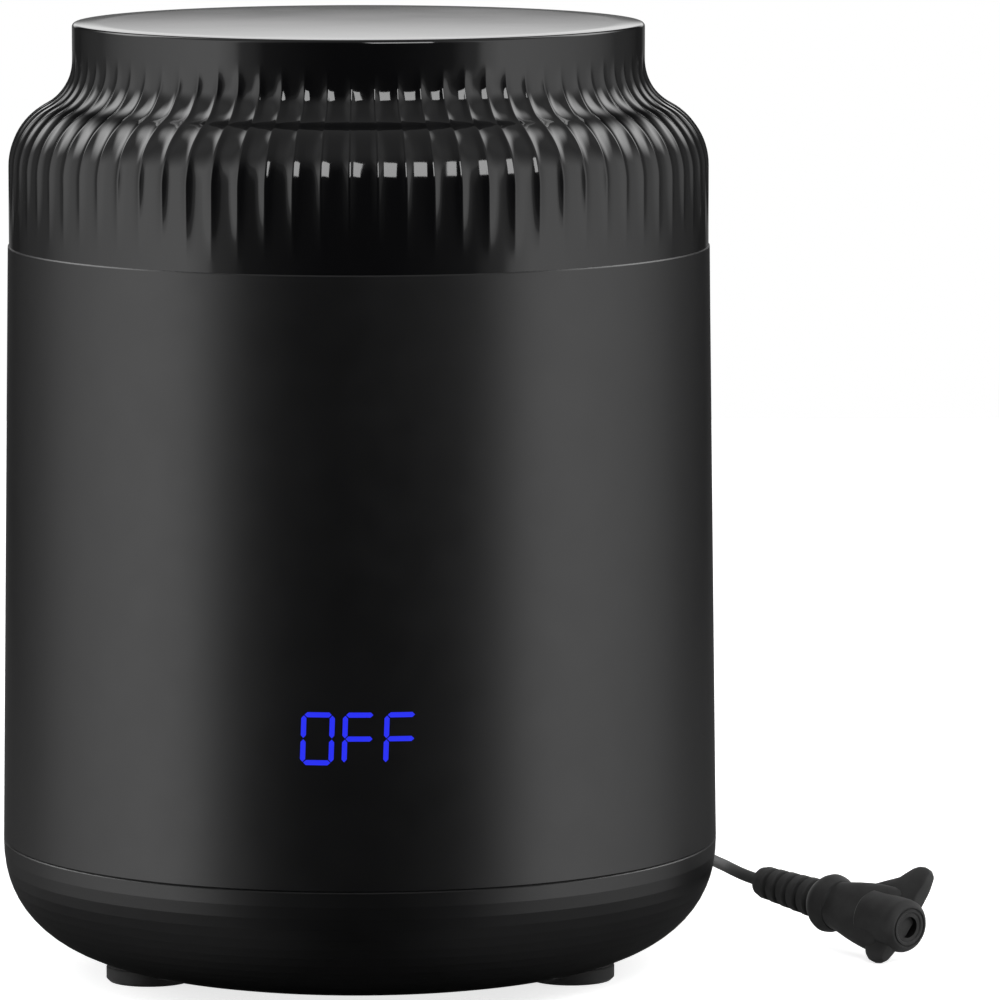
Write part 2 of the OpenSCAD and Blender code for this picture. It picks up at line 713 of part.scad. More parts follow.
module fan_frame() {
    color([0.06, 0.06, 0.06]) translate([0, 0, fan_z]) difference() {
        union() {
            difference() {
                translate([-fan_w / 2, -fan_w / 2, 0]) cube([fan_w, fan_w, fan_t]);
                translate([0, 0, -1]) cylinder(r = fan_bore_r, h = fan_t + 2);
            }
            cylinder(r = hub_r - 1, h = 2);
            for (a = [0 : 90 : 270]) rotate([0, 0, a + 22]) translate([hub_r - 4, -1.5, 0])
                cube([fan_bore_r - hub_r + 5, 3, 2]);
            translate([0, 0, 2 - eps]) cylinder(r = fan_shaft_r + 1.2, h = fan_t - 6);
        }
        translate([0, 0, -1]) cylinder(r = fan_shaft_r + running, h = fan_t + 2);
        at_corners(fan_hole_p, fan_hole_p) translate([0, 0, -1])
            cylinder(r = fan_hole_r, h = fan_t + 2);
        for (a = [0 : 90 : 270]) rotate([0, 0, a]) translate([-8, fan_w / 2 - 1, fan_t / 2 - 3.5])
            cube([16, 2, 7]);
    }
}

module fan_stator() {
    color([0.72, 0.42, 0.2]) translate([0, 0, fan_z + 2.3]) linear_extrude(fan_t - 8.5) difference() {
        union() {
            circle(r = fan_shaft_r + 3);
            for (a = [0 : 90 : 270]) rotate(a) translate([0, -1.6]) square([hub_r - hub_wall - 2.4, 3.2]);
            difference() {
                circle(r = hub_r - hub_wall - 1.9);
                circle(r = hub_r - hub_wall - 3.1);
                for (a = [45 : 90 : 315]) rotate(a) translate([0, -1]) square([hub_r, 2]);
            }
        }
        circle(r = fan_shaft_r + 1.2 + seat);
    }
}

module fan_screws() {
    color([0.75, 0.76, 0.78]) at_corners(fan_hole_p, fan_hole_p)
        translate([0, 0, fan_z - 1.6]) screw(fan_t + 3.4, 1.5, 2.9, 1.6);
}

module blade() {
    chord_r = 14;
    intersection() {
        rotate([90, 0, 90]) linear_extrude(blade_tip_r + 1) difference() {
            translate([-8, chord_r * -0.62]) circle(r = chord_r + blade_t / 2);
            translate([-8, chord_r * -0.62]) circle(r = chord_r - blade_t / 2);
        }
        translate([hub_r / 2, -1.6, -4.6]) cube([blade_tip_r, 12.4, 9.2]);
    }
}

module fan_rotor() {
    color([0.09, 0.09, 0.09]) translate([0, 0, fan_z + fan_t - 1]) union() {
        difference() {
            translate([0, 0, -fan_t + 4.5]) cylinder(r = hub_r, h = fan_t - 4.5);
            translate([0, 0, -fan_t]) cylinder(r = hub_r - hub_wall, h = fan_t - hub_wall);
            translate([0, 0, -fan_t]) cylinder(r = fan_shaft_r + 0.02, h = fan_t + 1);
        }
        intersection() {
            translate([0, 0, -fan_t / 2 + 1.5]) for (i = [0 : blade_count - 1])
                rotate([0, 0, i * 360 / blade_count]) blade();
            ring(blade_tip_r, hub_r - 0.6, -fan_t, fan_t);
        }
    }
}

module fan_magnet() {
    color([0.25, 0.25, 0.27]) ring(hub_r - hub_wall - 0.02, hub_r - hub_wall - 1.2, fan_z + 4, fan_t - 7.4);
}

module fan_shaft() {
    color([0.8, 0.8, 0.82]) translate([0, 0, fan_z + 0.5]) cylinder(r = fan_shaft_r, h = fan_t - 1.5);
}

// Electronics
module control_board() {
    color([0.07, 0.28, 0.16]) difference() {
        translate([-board_l / 2, board_y, board_z]) cube([board_l, board_w, board_t]);
        at_board_screws() translate([0, 0, board_z - 1]) cylinder(r = board_screw_r + 0.3, h = board_t + 2);
    }
}

module board_screws() {
    color([0.75, 0.76, 0.78]) {
        at_board_screws() translate([0, 0, board_z + board_t + 1.6])
            mirror([0, 0, 1]) screw(board_t + 4, board_screw_r - 0.3, 2.4, 1.6);
        at_display_screws(display_board_y - 1.6) screw(board_t + 5, board_screw_r - 0.3, 2.4, 1.6);
    }
}

module on_board(x, y) {
    translate([x, board_y + y, board_z + board_t]) children();
}

module power_transformer() {
    color([0.85, 0.75, 0.2]) on_board(-20, 22) union() {
        translate([-9, -7, 0]) cube([18, 14, 3]);
        translate([-6, -5.5, 2.9]) cube([12, 11, 10]);
        translate([-9, -7, 12.8]) cube([18, 14, 2.6]);
        for (x = [-9, 7]) translate([x, -4, 2.9]) cube([2, 8, 10]);
    }
}

module heater_relay() {
    color([0.1, 0.25, 0.6]) on_board(2, 20) difference() {
        translate([-7.5, -9.5, 0]) cube([15, 19, 15]);
        for (y = [-9.6, 8.6]) translate([-8, y, 5]) cube([16, 1, 5]);
    }
}

module power_capacitors() {
    color([0.12, 0.12, 0.16]) for (p = [[18, 14, 5, 16], [18, 28, 4, 12], [27, 22, 3, 8]])
        on_board(p[0], p[1]) rotate_extrude($fn = 48) polygon([[0, 0], [p[2], 0], [p[2], 1.5],
            [p[2] - 0.4, 2], [p[2], 2.5], [p[2], p[3] - 0.4], [p[2] - 0.4, p[3]], [0, p[3]]]);
}

module terminal_block() {
    color([0.1, 0.45, 0.2]) on_board(0, board_w - 8) difference() {
        translate([-7.5, -4, 0]) cube([15, 8, 10]);
        for (x = [-3.75, 3.75]) translate([x, 0, 5]) {
            cylinder(r = 2, h = 6);
            translate([-1.6, 0, -4]) cube([3.2, 5, 4]);
        }
    }
}

module display_board() {
    color([0.07, 0.28, 0.16]) difference() {
        translate([-display_board_w / 2, display_board_y, display_z - display_board_h / 2])
            cube([display_board_w, board_t, display_board_h]);
        at_display_screws(display_board_y - 1) cylinder(r = 1.4, h = board_t + 2);
    }
}

function leaned(x, z) = [x + z * tan(digit_lean), z];

module segment_bar(x, z, w, h) {
    polygon([leaned(x - w / 2, z - h / 2), leaned(x + w / 2, z - h / 2),
        leaned(x + w / 2, z + h / 2), leaned(x - w / 2, z + h / 2)]);
}

// Three digits of seven bars, each bar smaller all round by the margin
module digit_bars(margin) {
    arm = digit_w - segment_w;
    rise = (digit_h - segment_w) / 2;
    for (i = [-1 : 1]) translate([i * digit_pitch - 0.7, 0]) {
        for (k = [-1 : 1]) segment_bar(0, k * rise, arm - segment_w - 0.5 - margin, segment_w - margin);
        for (x = [-1, 1], k = [-1, 1])
            segment_bar(x * arm / 2, k * rise / 2, segment_w - margin, rise - segment_w / 2 - 0.5 - margin);
    }
}

module display_module() {
    color([0.04, 0.04, 0.05]) difference() {
        translate([-display_w / 2, display_y, display_z - display_h / 2])
            cube([display_w, display_t, display_h]);
        translate([0, display_y + 3, display_z]) rotate([90, 0, 0]) linear_extrude(4) digit_bars(0);
    }
}

module display_segments() {
    color([0.15, 0.25, 1]) translate([0, display_y + 3, display_z]) rotate([90, 0, 0])
        linear_extrude(3) digit_bars(0.1);
}

module touch_springs() {
    wall_y = sqrt(pow(body_r(display_z) - shell_wall, 2) - pow(touch_x + touch_r, 2));
    spring_len = wall_y + display_board_y - loose;
    pitch = spring_len / 5;
    color([0.8, 0.8, 0.82]) for (x = [-1, 1]) translate([x * touch_x, display_board_y, display_z])
        rotate([90, 0, 0]) rotate_extrude($fn = 48) polygon(concat([[touch_r - 1, 0]],
            [for (i = [0 : 4]) each [[touch_r, (i + 0.1) * pitch], [touch_r, (i + 0.6) * pitch],
                [touch_r - 0.5, (i + 0.8) * pitch]]],
            [[touch_r - 1, spring_len]]));
}

module display_ribbon() {
    low_z = board_z + board_t;
    back_y = display_board_y + board_t;
    up_z = display_z - display_board_h / 2 + 4;
    run_z = low_z + 3;
    color([0.7, 0.7, 0.72]) translate([ribbon_x, 0, 0]) rotate([90, 0, 90]) linear_extrude(ribbon_w)
        polygon([[board_y + 4, low_z], [board_y + 4, run_z], [back_y + 6, run_z], [back_y + ribbon_t, run_z + 6],
            [back_y + ribbon_t, up_z], [back_y, up_z], [back_y, run_z + 5.6],
            [back_y + 5.6, run_z - ribbon_t], [board_y + 4 - ribbon_t, run_z - ribbon_t],
            [board_y + 4 - ribbon_t, low_z]]);
}

module sensor_board() {
    color([0.07, 0.28, 0.16]) translate([-6, well_r + liner_wall + seat, sensor_z - 8])
        cube([12, board_t, 16]);
}

module sensor_cap() {
    neck = well_r + liner_wall - sqrt(pow(well_r, 2) - pow(sensor_dome_r, 2)) + seat;
    color([0.16, 0.16, 0.17]) translate([0, well_r + liner_wall, sensor_z]) rotate([90, 0, 0]) difference() {
        rotate_extrude() polygon([[0, 0], [sensor_neck_r, 0], [sensor_neck_r, neck], [sensor_dome_r, neck],
            [sensor_dome_r, neck + 1.6], [sensor_dome_r - 1.5, neck + 3], [0, neck + 3]]);
        translate([0, 0, -1]) cylinder(r = sensor_neck_r - 1.2, h = neck + 2.6);
        for (x = [-2.4, 0, 2.4]) translate([x - 0.5, -2.2, neck + 1]) cube([1, 4.4, 3]);
    }
}

module filament_outlet() {
    y0 = chamber_r - 2.3;
    y1 = body_r(outlet_z) + 1.8;
    color([0.2, 0.2, 0.21]) translate([0, 0, outlet_z]) rotate([-90, 0, 0]) difference() {
        union() {
            translate([0, 0, y0]) cylinder(r = outlet_r, h = y1 - y0);
            translate([0, 0, body_r(outlet_z) + 0.3]) cylinder(r = outlet_flange_r, h = 1.5);
        }
        translate([0, 0, y0 - 1]) cylinder(r = outlet_bore_r, h = y1 - y0 + 2);
    }
}

module outlet_nut() {
    color([0.2, 0.2, 0.21]) translate([0, chamber_r - 0.4, outlet_z]) rotate([90, 0, 0])
        rotate([0, 0, 30]) difference() {
            cylinder(r = outlet_r + 2.6, h = 1.6, $fn = 6);
            translate([0, 0, -1]) cylinder(r = outlet_r + running, h = 4);
        }
}

// Cord and what is on it
module cord_gland() {
    color([0.04, 0.04, 0.04]) translate([0, 0, gland_z]) rotate([-90, 0, 0]) rotate_extrude() polygon([
        [cord_r + running, gland_wall_y - shell_wall - 7], [gland_thread_r, gland_wall_y - shell_wall - 7],
        [gland_thread_r, gland_wall_y + loose], [gland_r + 2.5, gland_wall_y + loose],
        [gland_r + 2.5, gland_wall_y + 1.6], [gland_r, gland_wall_y + 2.6],
        [gland_r - 0.2, gland_wall_y + 5], [gland_r - 1.2, gland_wall_y + 5.2],
        [gland_r - 1.3, gland_wall_y + 6.6], [gland_r - 0.4, gland_wall_y + 6.8],
        [gland_r - 0.7, gland_wall_y + 9], [gland_r - 1.7, gland_wall_y + 9.2],
        [gland_r - 1.8, gland_wall_y + 10.6], [gland_r - 0.9, gland_wall_y + 10.8],
        [gland_r - 1.4, gland_end_y - 0.6], [gland_r - 2, gland_end_y], [cord_r + running, gland_end_y]]);
}

module gland_nut() {
    color([0.04, 0.04, 0.04]) translate([0, gland_wall_y - shell_wall - 4.5, gland_z])
        rotate([-90, 0, 0]) difference() {
            cylinder(r = gland_thread_r + 3.2, h = 3.6, $fn = 6);
            translate([0, 0, -1]) cylinder(r = gland_thread_r + running, h = 6);
        }
}

// A round wire through a list of points
module wire(points, r) {
    for (i = [1 : len(points) - 1]) {
        d = points[i] - points[i - 1];
        translate(points[i - 1]) rotate([0, acos(d[2] / norm(d)), atan2(d[1], d[0])])
            cylinder(r = r, h = norm(d), $fn = 24);
        if (i < len(points) - 1) translate(points[i]) sphere(r = r * 1.04, $fn = 24);
    }
}

module mains_lead() {
    inner_y = gland_wall_y - shell_wall - sheath_inside;
    terminal_z = board_z + board_t + 3;
    terminal_y = board_y + board_w - 4.6;
    color([0.04, 0.04, 0.04]) {
        translate([0, inner_y, gland_z]) rotate([-90, 0, 0]) cylinder(r = cord_r, h = gland_wall_y - inner_y);
        for (s = [-1, 1]) wire([[s * 3.75, terminal_y, terminal_z], [s * 3.75, terminal_y + 7, terminal_z],
            [s * 2.6, terminal_y + 15, terminal_z + 8], [s * 1, inner_y - 5, gland_z - 10],
            [s * 1, inner_y - 3, gland_z - 2], [s * 1, inner_y + 1, gland_z]], 0.9);
    }
}

function unit(v) = v / norm(v);
function along(p, i) = unit(p[min(i + 1, len(p) - 1)] - p[max(i - 1, 0)]);
function side(d) = unit(cross(d, abs(d[2]) > 0.9 ? [1, 0, 0] : [0, 0, 1]));
function cord_ring(p, i, r, n) = let (d = along(p, i), u = side(d), v = cross(d, u))
    [for (k = [0 : n - 1]) p[i] + r * (cos(360 * k / n) * u + sin(360 * k / n) * v)];

module cord_tube(p, r, n = 8) {
    last = (len(p) - 1) * n;
    polyhedron(
        points = [for (i = [0 : len(p) - 1]) each cord_ring(p, i, r, n)],
        faces = concat(
            [[for (k = [0 : n - 1]) k]],
            [for (i = [0 : len(p) - 2], k = [0 : n - 1]) let (a = i * n + k, b = i * n + (k + 1) % n)
                each [[a, a + n, b + n], [a, b + n, b]]],
            [[for (k = [n - 1 : -1 : 0]) last + k]]));
}

module cord_lead() {
    color([0.04, 0.04, 0.04]) cord_tube(lead_points, cord_r);
}

module cord_coil() {
    color([0.04, 0.04, 0.04]) translate([coil_centre[0], coil_centre[1], 0]) rotate_extrude()
        translate([coil_d / 2 - coil_turns * cord_d, 0]) square([coil_turns * cord_d, coil_layers * cord_d]);
}

module cord_tail() {
    color([0.04, 0.04, 0.04]) cord_tube(tail_points, cord_r);
}

module at_connector() {
    translate(connector_tail) rotate([connector_roll, connector_pitch, connector_yaw]) children();
}

module connector_body() {
    nose_x = connector_len - nose_len;
    grip_x = relief_len + collar_len;
    rib_pitch = (relief_len - 4) / 5;
    color([0.045, 0.045, 0.045]) at_connector() difference() {
        union() {
            rotate([0, 90, 0]) rotate_extrude() polygon(concat([[0, 0], [relief_r - 1.6, 0],
                [relief_r - 0.6, 1.5]],
                [for (i = [0 : 4]) let (x = 3 + i * rib_pitch, r = relief_r + 0.25 * i) each
                    [[r, x], [r, x + rib_pitch - 2], [r - 1.7, x + rib_pitch - 1.7], [r - 1.7, x + rib_pitch - 0.3]]],
                [[relief_r + 1.4, relief_len], [collar_r - 1, relief_len + 2], [collar_r, relief_len + 4.5],
                 [collar_r - 1.2, grip_x], [0, grip_x]]));
            hull() {
                translate([grip_x - 3, 0, 0]) rotate([0, 90, 0]) cylinder(r = 7.4, h = 1, $fn = 32);
                for (s = [-1, 1]) translate([nose_x - 2, s * 5.2, 0]) rotate([0, 90, 0])
                    cylinder(r = 6, h = 4, $fn = 32);
            }
            intersection() {
                translate([grip_x + 6, wing_rise, 0]) rotate([90, 0, 90])
                    linear_extrude(connector_len - grip_x - 7) hull() {
                        circle(r = 6.2, $fn = 32);
                        for (s = [-1, 1]) translate([s * (wing_span - wing_t) / 2, 0])
                            circle(r = wing_t / 2, $fn = 32);
                    }
                for (m = [0, 1]) translate([0, wing_rise, -10]) mirror([0, m, 0]) linear_extrude(20)
                    polygon([[grip_x + 1, -1], [grip_x + 1, 3], [grip_x + 9, 7], [nose_x - 5, 10],
                        [nose_x, 12.6], [nose_x + 2, 15.4], [nose_x + 3.5, 17.2],
                        [nose_x + 6, wing_span / 2], [nose_x + 9.5, wing_span / 2 - 0.3],
                        [nose_x + 11.5, wing_span / 2 - 2], [nose_x + 12, wing_span / 2 - 5],
                        [nose_x + 12, -1]]);
            }
            translate([nose_x - 4, 0, 0]) rotate([0, 90, 0]) rotate_extrude() polygon([[0, 0], [nose_r, 0],
                [nose_r, nose_len + 1], [nose_r - 0.5, nose_len + 2.7], [nose_r - 1.9, nose_len + 4],
                [0, nose_len + 4]]);
        }
        translate([connector_len - 12, 0, 0]) rotate([0, 90, 0]) cylinder(r = socket_r + 1.35, h = 14);
        translate([connector_len - 0.6, 0, 0]) rotate([0, 90, 0]) ring(nose_r - 2.3, nose_r - 2.9, 0, 2);
    }
}

module connector_sleeve() {
    color([0.3, 0.3, 0.31]) at_connector() translate([connector_len - 12, 0, 0]) rotate([0, 90, 0]) difference() {
        cylinder(r = socket_r + 1.3, h = 11.6);
        translate([0, 0, 1]) cylinder(r = socket_r, h = 12);
    }
}

// Fluted lid
function clamp01(v) = min(1, max(0, v));
function smooth01(v) = let (c = clamp01(v)) c * c * (3 - 2 * c);
function flute_share(z) = smooth01((z - lid_seam_z - flute_base_gap) / flute_run_in)
    * smooth01((total_h - flute_top_gap - z) / flute_run_out);
lid_outline = concat(
    [for (i = [0 : 3]) [shoulder_r, lid_seam_z + shoulder_h * i / 4]],
    [for (i = [0 : 4]) shoulder_point(bend_angle * i / 4, 0)],
    [for (i = [3 : -1 : 0]) neck_point(bend_angle * i / 4, 0)],
    [[neck_r, neck_z + (neck_h - flute_top_gap) / 2], [neck_r, total_h - flute_top_gap],
     [neck_r, total_h - top_fillet]],
    [for (a = [45, 90]) [neck_r - top_fillet * (1 - cos(a)), total_h - top_fillet * (1 - sin(a))]]);
flute_columns = 4;
function flute_cut(k) = 1 - pow(2 * (k % flute_columns) / flute_columns - 1, 2);

module lid_outside() {
    n = flute_count * flute_columns;
    m = len(lid_outline);
    polyhedron(
        points = [for (p = lid_outline) let (cut = flute_depth * flute_share(p[1]))
            for (k = [0 : n - 1]) let (r = p[0] - cut * flute_cut(k), a = 360 * k / n)
                [r * cos(a), r * sin(a), p[1]]],
        faces = concat(
            [[for (k = [0 : n - 1]) k]],
            [for (j = [0 : m - 2], k = [0 : n - 1]) let (a = j * n + k, b = j * n + (k + 1) % n)
                each [[a, a + n, b + n], [a, b + n, b]]],
            [[for (k = [n - 1 : -1 : 0]) (m - 1) * n + k]]));
}

module lid_shell() {
    color([0.07, 0.07, 0.08, 0.9]) difference() {
        lid_outside();
        rotate_extrude($fn = 128) polygon(concat(
            [[0, lid_seam_z - 1], [seal_outer_r + running, lid_seam_z - 1],
             [seal_outer_r + running, lid_seam_z + seal_h + seat],
             [lid_inner_r, lid_seam_z + seal_h + seat + 0.6]],
            lid_curve(lid_wall, 6),
            [[neck_r - lid_wall, total_h - lid_wall - 3], [neck_r - lid_wall - 3, total_h - lid_wall],
             [0, total_h - lid_wall]]));
    }
}

module lid_seal() {
    color([0.35, 0.35, 0.36]) rotate_extrude($fn = 128) polygon([
        [seal_r + 0.4, lid_seam_z + seat], [seal_outer_r, lid_seam_z + seat],
        [seal_outer_r, lid_seam_z + seal_h], [seal_r + 0.4, lid_seam_z + seal_h],
        [seal_r, lid_seam_z + seal_h - 0.6], [seal_r + 0.3, lid_seam_z + seal_h / 2 + 0.3],
        [seal_r, lid_seam_z + seal_h / 2], [seal_r + 0.3, lid_seam_z + seal_h / 2 - 0.3],
        [seal_r, lid_seam_z + 0.9]]);
}

outer_shell();
base_shell();
rubber_feet();
base_screws();
chamber_liner();
floor_grille();
roller_cradle();
cradle_screws();
roller_axles();
axle_clips();
bearing_inner_rings();
front_roller();
front_roller_sleeves();
front_bearings();
rear_roller();
rear_roller_sleeves();
rear_bearings();
heater_duct();
duct_screws();
heater_frame();
heater_fins();
heater_bars();
thermal_fuse();
fan_frame();
fan_stator();
fan_screws();
fan_rotor();
fan_magnet();
fan_shaft();
control_board();
board_screws();
power_transformer();
heater_relay();
power_capacitors();
terminal_block();
display_board();
display_module();
display_segments();
touch_springs();
display_ribbon();
sensor_board();
sensor_cap();
filament_outlet();
outlet_nut();
cord_gland();
gland_nut();
mains_lead();
cord_lead();
cord_coil();
cord_tail();
connector_body();
connector_sleeve();
lid_shell();
lid_seal();
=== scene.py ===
"""Filament dryer: an upright canister with a fluted lid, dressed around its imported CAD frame."""

import math

import bmesh
import bpy
from bpy.props import FloatProperty, FloatVectorProperty, IntProperty, PointerProperty
from bpy.types import Operator, Panel, PropertyGroup
from mathutils import Matrix, Vector


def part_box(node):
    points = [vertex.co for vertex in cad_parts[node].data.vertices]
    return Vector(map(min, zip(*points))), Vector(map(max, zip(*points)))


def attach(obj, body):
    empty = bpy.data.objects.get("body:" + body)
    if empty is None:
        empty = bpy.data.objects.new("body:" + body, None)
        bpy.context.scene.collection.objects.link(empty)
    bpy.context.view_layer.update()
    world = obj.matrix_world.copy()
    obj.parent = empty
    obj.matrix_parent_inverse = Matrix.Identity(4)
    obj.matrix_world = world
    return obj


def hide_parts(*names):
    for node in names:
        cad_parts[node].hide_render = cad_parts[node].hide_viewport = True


bl_info = {
    "name": "Filament Dryer Canister",
    "version": (1, 0, 0),
    "blender": (4, 5, 0),
    "location": "3D View > Sidebar > Dryer",
    "description": "Builds the finish, the fluted lid, the lit display and the cord of a filament dryer",
    "category": "Object",
}

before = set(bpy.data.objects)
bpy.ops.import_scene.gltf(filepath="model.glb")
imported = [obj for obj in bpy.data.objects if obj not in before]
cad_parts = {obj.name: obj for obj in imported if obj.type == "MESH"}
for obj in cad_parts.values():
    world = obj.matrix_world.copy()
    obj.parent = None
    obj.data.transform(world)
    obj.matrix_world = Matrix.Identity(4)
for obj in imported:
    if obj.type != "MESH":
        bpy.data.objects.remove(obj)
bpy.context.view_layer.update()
MM = 0.001

# Heights and radii that the frame already fixes, in metres
LID_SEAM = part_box("lid_shell")[0].z
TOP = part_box("lid_shell")[1].z
SHOULDER_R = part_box("lid_shell")[1].x
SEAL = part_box("lid_seal")[1]
BASE_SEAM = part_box("outer_shell")[0].z
BODY_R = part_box("outer_shell")[1].x
BODY_TOP_R = 0.1124  # the body narrows to this at the lid seam
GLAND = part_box("cord_gland")
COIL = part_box("cord_coil")
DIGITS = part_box("display_segments")

# The cord's route, as the frame lays it, in metres
GLAND_END_Y = GLAND[1].y
GLAND_Z = (GLAND[0].z + GLAND[1].z) / 2
LEAD_POINTS = [
    (0, GLAND_END_Y - 0.002, GLAND_Z),
    (0, GLAND_END_Y + 0.003, GLAND_Z),
    (0, 0.140, 0.057),
    (0, 0.145, 0.053),
    (0, 0.149, 0.048),
    (0, 0.150, 0.042),
    (0, 0.150, 0.034),
    (0, 0.150, 0.026),
    (0, 0.150, 0.018),
    (0, 0.151, 0.012),
    (0.001, 0.155, 0.007),
    (0.002, 0.160, 0.003),
    (0.004, 0.169, 0.002),
]
TAIL_POINTS = [
    (0.046, 0.2092, 0.006),
    (0.054, 0.2108, 0.005),
    (0.064, 0.212, 0.003),
    (0.076, 0.212, 0.002),
    (0.088, 0.212, 0.002),
    (0.099, 0.2114, 0.002),
    (0.108, 0.2086, 0.002),
    (0.115, 0.2034, 0.002),
    (0.1194, 0.196, 0.0023),
    (0.1214, 0.187, 0.0034),
    (0.1219, 0.176, 0.0049),
    (0.122, 0.164, 0.0066),
    (0.122, 0.15, 0.0086),
    (0.1222, 0.135, 0.0107),
    (0.1224, 0.12, 0.0128),
    (0.1226, 0.105, 0.0149),
    (0.1228, 0.09, 0.017),
    (0.1232, 0.079, 0.0183),
    (0.1246, 0.071, 0.0188),
    (0.1277, 0.0642, 0.0182),
    (0.1325, 0.0579, 0.0176),
]

# How much higher the lid's top stands in its middle than at its rim
CROWN = 0.0004

# Radius, in metres, at which a turned shape's end is left closed on its axis
AXIS_R = 0.0002

# Where the connector's cord end lies, in metres, and how it is turned, in degrees
CONNECTOR_TAIL = Vector(TAIL_POINTS[-1])
CONNECTOR_YAW = -52
CONNECTOR_PITCH = 4.5
CONNECTOR_ROLL = 54


# ---------------------------------------------------------------- sizes and colours


class DryerSizes(PropertyGroup):
    """Sizes of the canister's outside, in metres"""

    neck_r: FloatProperty(
        name="Neck radius", description="Radius of the lid's neck", default=0.0915, unit="LENGTH"
    )
    neck_h: FloatProperty(
        name="Neck height", description="Straight side of the neck", default=0.0121, unit="LENGTH"
    )
    shoulder_h: FloatProperty(
        name="Shoulder height", description="Straight side of the shoulder", default=0.0253, unit="LENGTH"
    )
    shoulder_bend: FloatProperty(
        name="Shoulder bend", description="Radius of the bend over the shoulder", default=0.022, unit="LENGTH"
    )
    top_fillet: FloatProperty(
        name="Top fillet", description="Radius of the rounded top rim", default=0.0012, unit="LENGTH"
    )
    lid_wall: FloatProperty(
        name="Lid wall", description="Thickness of the lid", default=0.0026, unit="LENGTH"
    )
    flutes: IntProperty(name="Flutes", description="Number of flutes around the lid", default=80)
    flute_turn: FloatProperty(
        name="Flute turn", description="Turn of the first ridge from the right side, in flutes", default=0.67
    )
    flute_depth: FloatProperty(
        name="Flute depth", description="Depth of a flute", default=0.0007, unit="LENGTH"
    )
    flute_base_gap: FloatProperty(
        name="Lower plain band", description="Plain band under the flutes", default=0.0023, unit="LENGTH"
    )
    flute_run_in: FloatProperty(
        name="Flute run-in", description="Length of the lower fade", default=0.027, unit="LENGTH"
    )
    flute_top_gap: FloatProperty(
        name="Upper plain band", description="Plain band above the flutes", default=0.008, unit="LENGTH"
    )
    flute_run_out: FloatProperty(
        name="Flute run-out", description="Length of the upper fade", default=0.012, unit="LENGTH"
    )
    cord_d: FloatProperty(
        name="Cord diameter", description="Diameter of the cord", default=0.004, unit="LENGTH"
    )
    coil_turns: IntProperty(name="Coil turns", description="Turns in one layer of the coil", default=3)


class DryerColours(PropertyGroup):
    """Colours of the canister's finishes"""

    body: FloatVectorProperty(
        name="Body", description="Satin body shells", subtype="COLOR", default=(0.0022, 0.0022, 0.0024)
    )
    lid: FloatVectorProperty(
        name="Lid", description="Polished smoke lid", subtype="COLOR", default=(0.0022, 0.0022, 0.0024)
    )
    rubber: FloatVectorProperty(
        name="Rubber", description="Feet and roller sleeves", subtype="COLOR", default=(0.012, 0.012, 0.012)
    )
    cord: FloatVectorProperty(
        name="Cord", description="Cord, gland and connector", subtype="COLOR", default=(0.013, 0.013, 0.013)
    )
    liner: FloatVectorProperty(
        name="Liner", description="Plastic of the chamber", subtype="COLOR", default=(0.03, 0.03, 0.033)
    )
    glow: FloatVectorProperty(
        name="Display glow", description="Lit bars of digits", subtype="COLOR", default=(0.012, 0.02, 0.85)
    )
    steel: FloatVectorProperty(
        name="Steel", description="Screws, axles and rings", subtype="COLOR", default=(0.6, 0.61, 0.63)
    )
    board: FloatVectorProperty(
        name="Circuit board", description="Solder mask", subtype="COLOR", default=(0.02, 0.16, 0.08)
    )


# ---------------------------------------------------------------- finishes


def finish(name, colour, roughness, metal=0.0):
    """A new material with its shader's own colour, roughness and metalness set."""
    mat = bpy.data.materials.new(name)
    mat.use_nodes = True
    shader = mat.node_tree.nodes["Principled BSDF"]
    shader.inputs["Base Color"].default_value = (*colour, 1)
    shader.inputs["Roughness"].default_value = roughness
    shader.inputs["Metallic"].default_value = metal
    return mat


def noise(mat, scale, detail=2.0, stretch=(1, 1, 1)):
    """A noise texture on the object's own coordinates, in repeats per metre."""
    nodes, links = mat.node_tree.nodes, mat.node_tree.links
    place = nodes.new("ShaderNodeTexCoord")
    turn = nodes.new("ShaderNodeMapping")
    turn.inputs["Scale"].default_value = stretch
    grain = nodes.new("ShaderNodeTexNoise")
    grain.inputs["Scale"].default_value = scale
    grain.inputs["Detail"].default_value = detail
    links.new(place.outputs["Object"], turn.inputs["Vector"])
    links.new(turn.outputs["Vector"], grain.inputs["Vector"])
    return grain


def vary_roughness(mat, low, high, scale=60, stretch=(1, 1, 1)):
    """Lets the roughness drift between two values over the surface."""
    nodes, links = mat.node_tree.nodes, mat.node_tree.links
    spread = nodes.new("ShaderNodeMapRange")
    spread.inputs["From Min"].default_value = 0.3
    spread.inputs["From Max"].default_value = 0.7
    spread.inputs["To Min"].default_value = low
    spread.inputs["To Max"].default_value = high
    links.new(noise(mat, scale, 3, stretch).outputs["Fac"], spread.inputs["Value"])
    links.new(spread.outputs["Result"], nodes["Principled BSDF"].inputs["Roughness"])


def vary_colour(mat, dark, light, scale=40, stretch=(1, 1, 1)):
    """Lets the colour drift between two shades over the surface."""
    nodes, links = mat.node_tree.nodes, mat.node_tree.links
    ramp = nodes.new("ShaderNodeValToRGB")
    ramp.color_ramp.elements[0].position = 0.35
    ramp.color_ramp.elements[1].position = 0.65
    ramp.color_ramp.elements[0].color = (*dark, 1)
    ramp.color_ramp.elements[1].color = (*light, 1)
    links.new(noise(mat, scale, 3, stretch).outputs["Fac"], ramp.inputs["Fac"])
    links.new(ramp.outputs["Color"], nodes["Principled BSDF"].inputs["Base Color"])


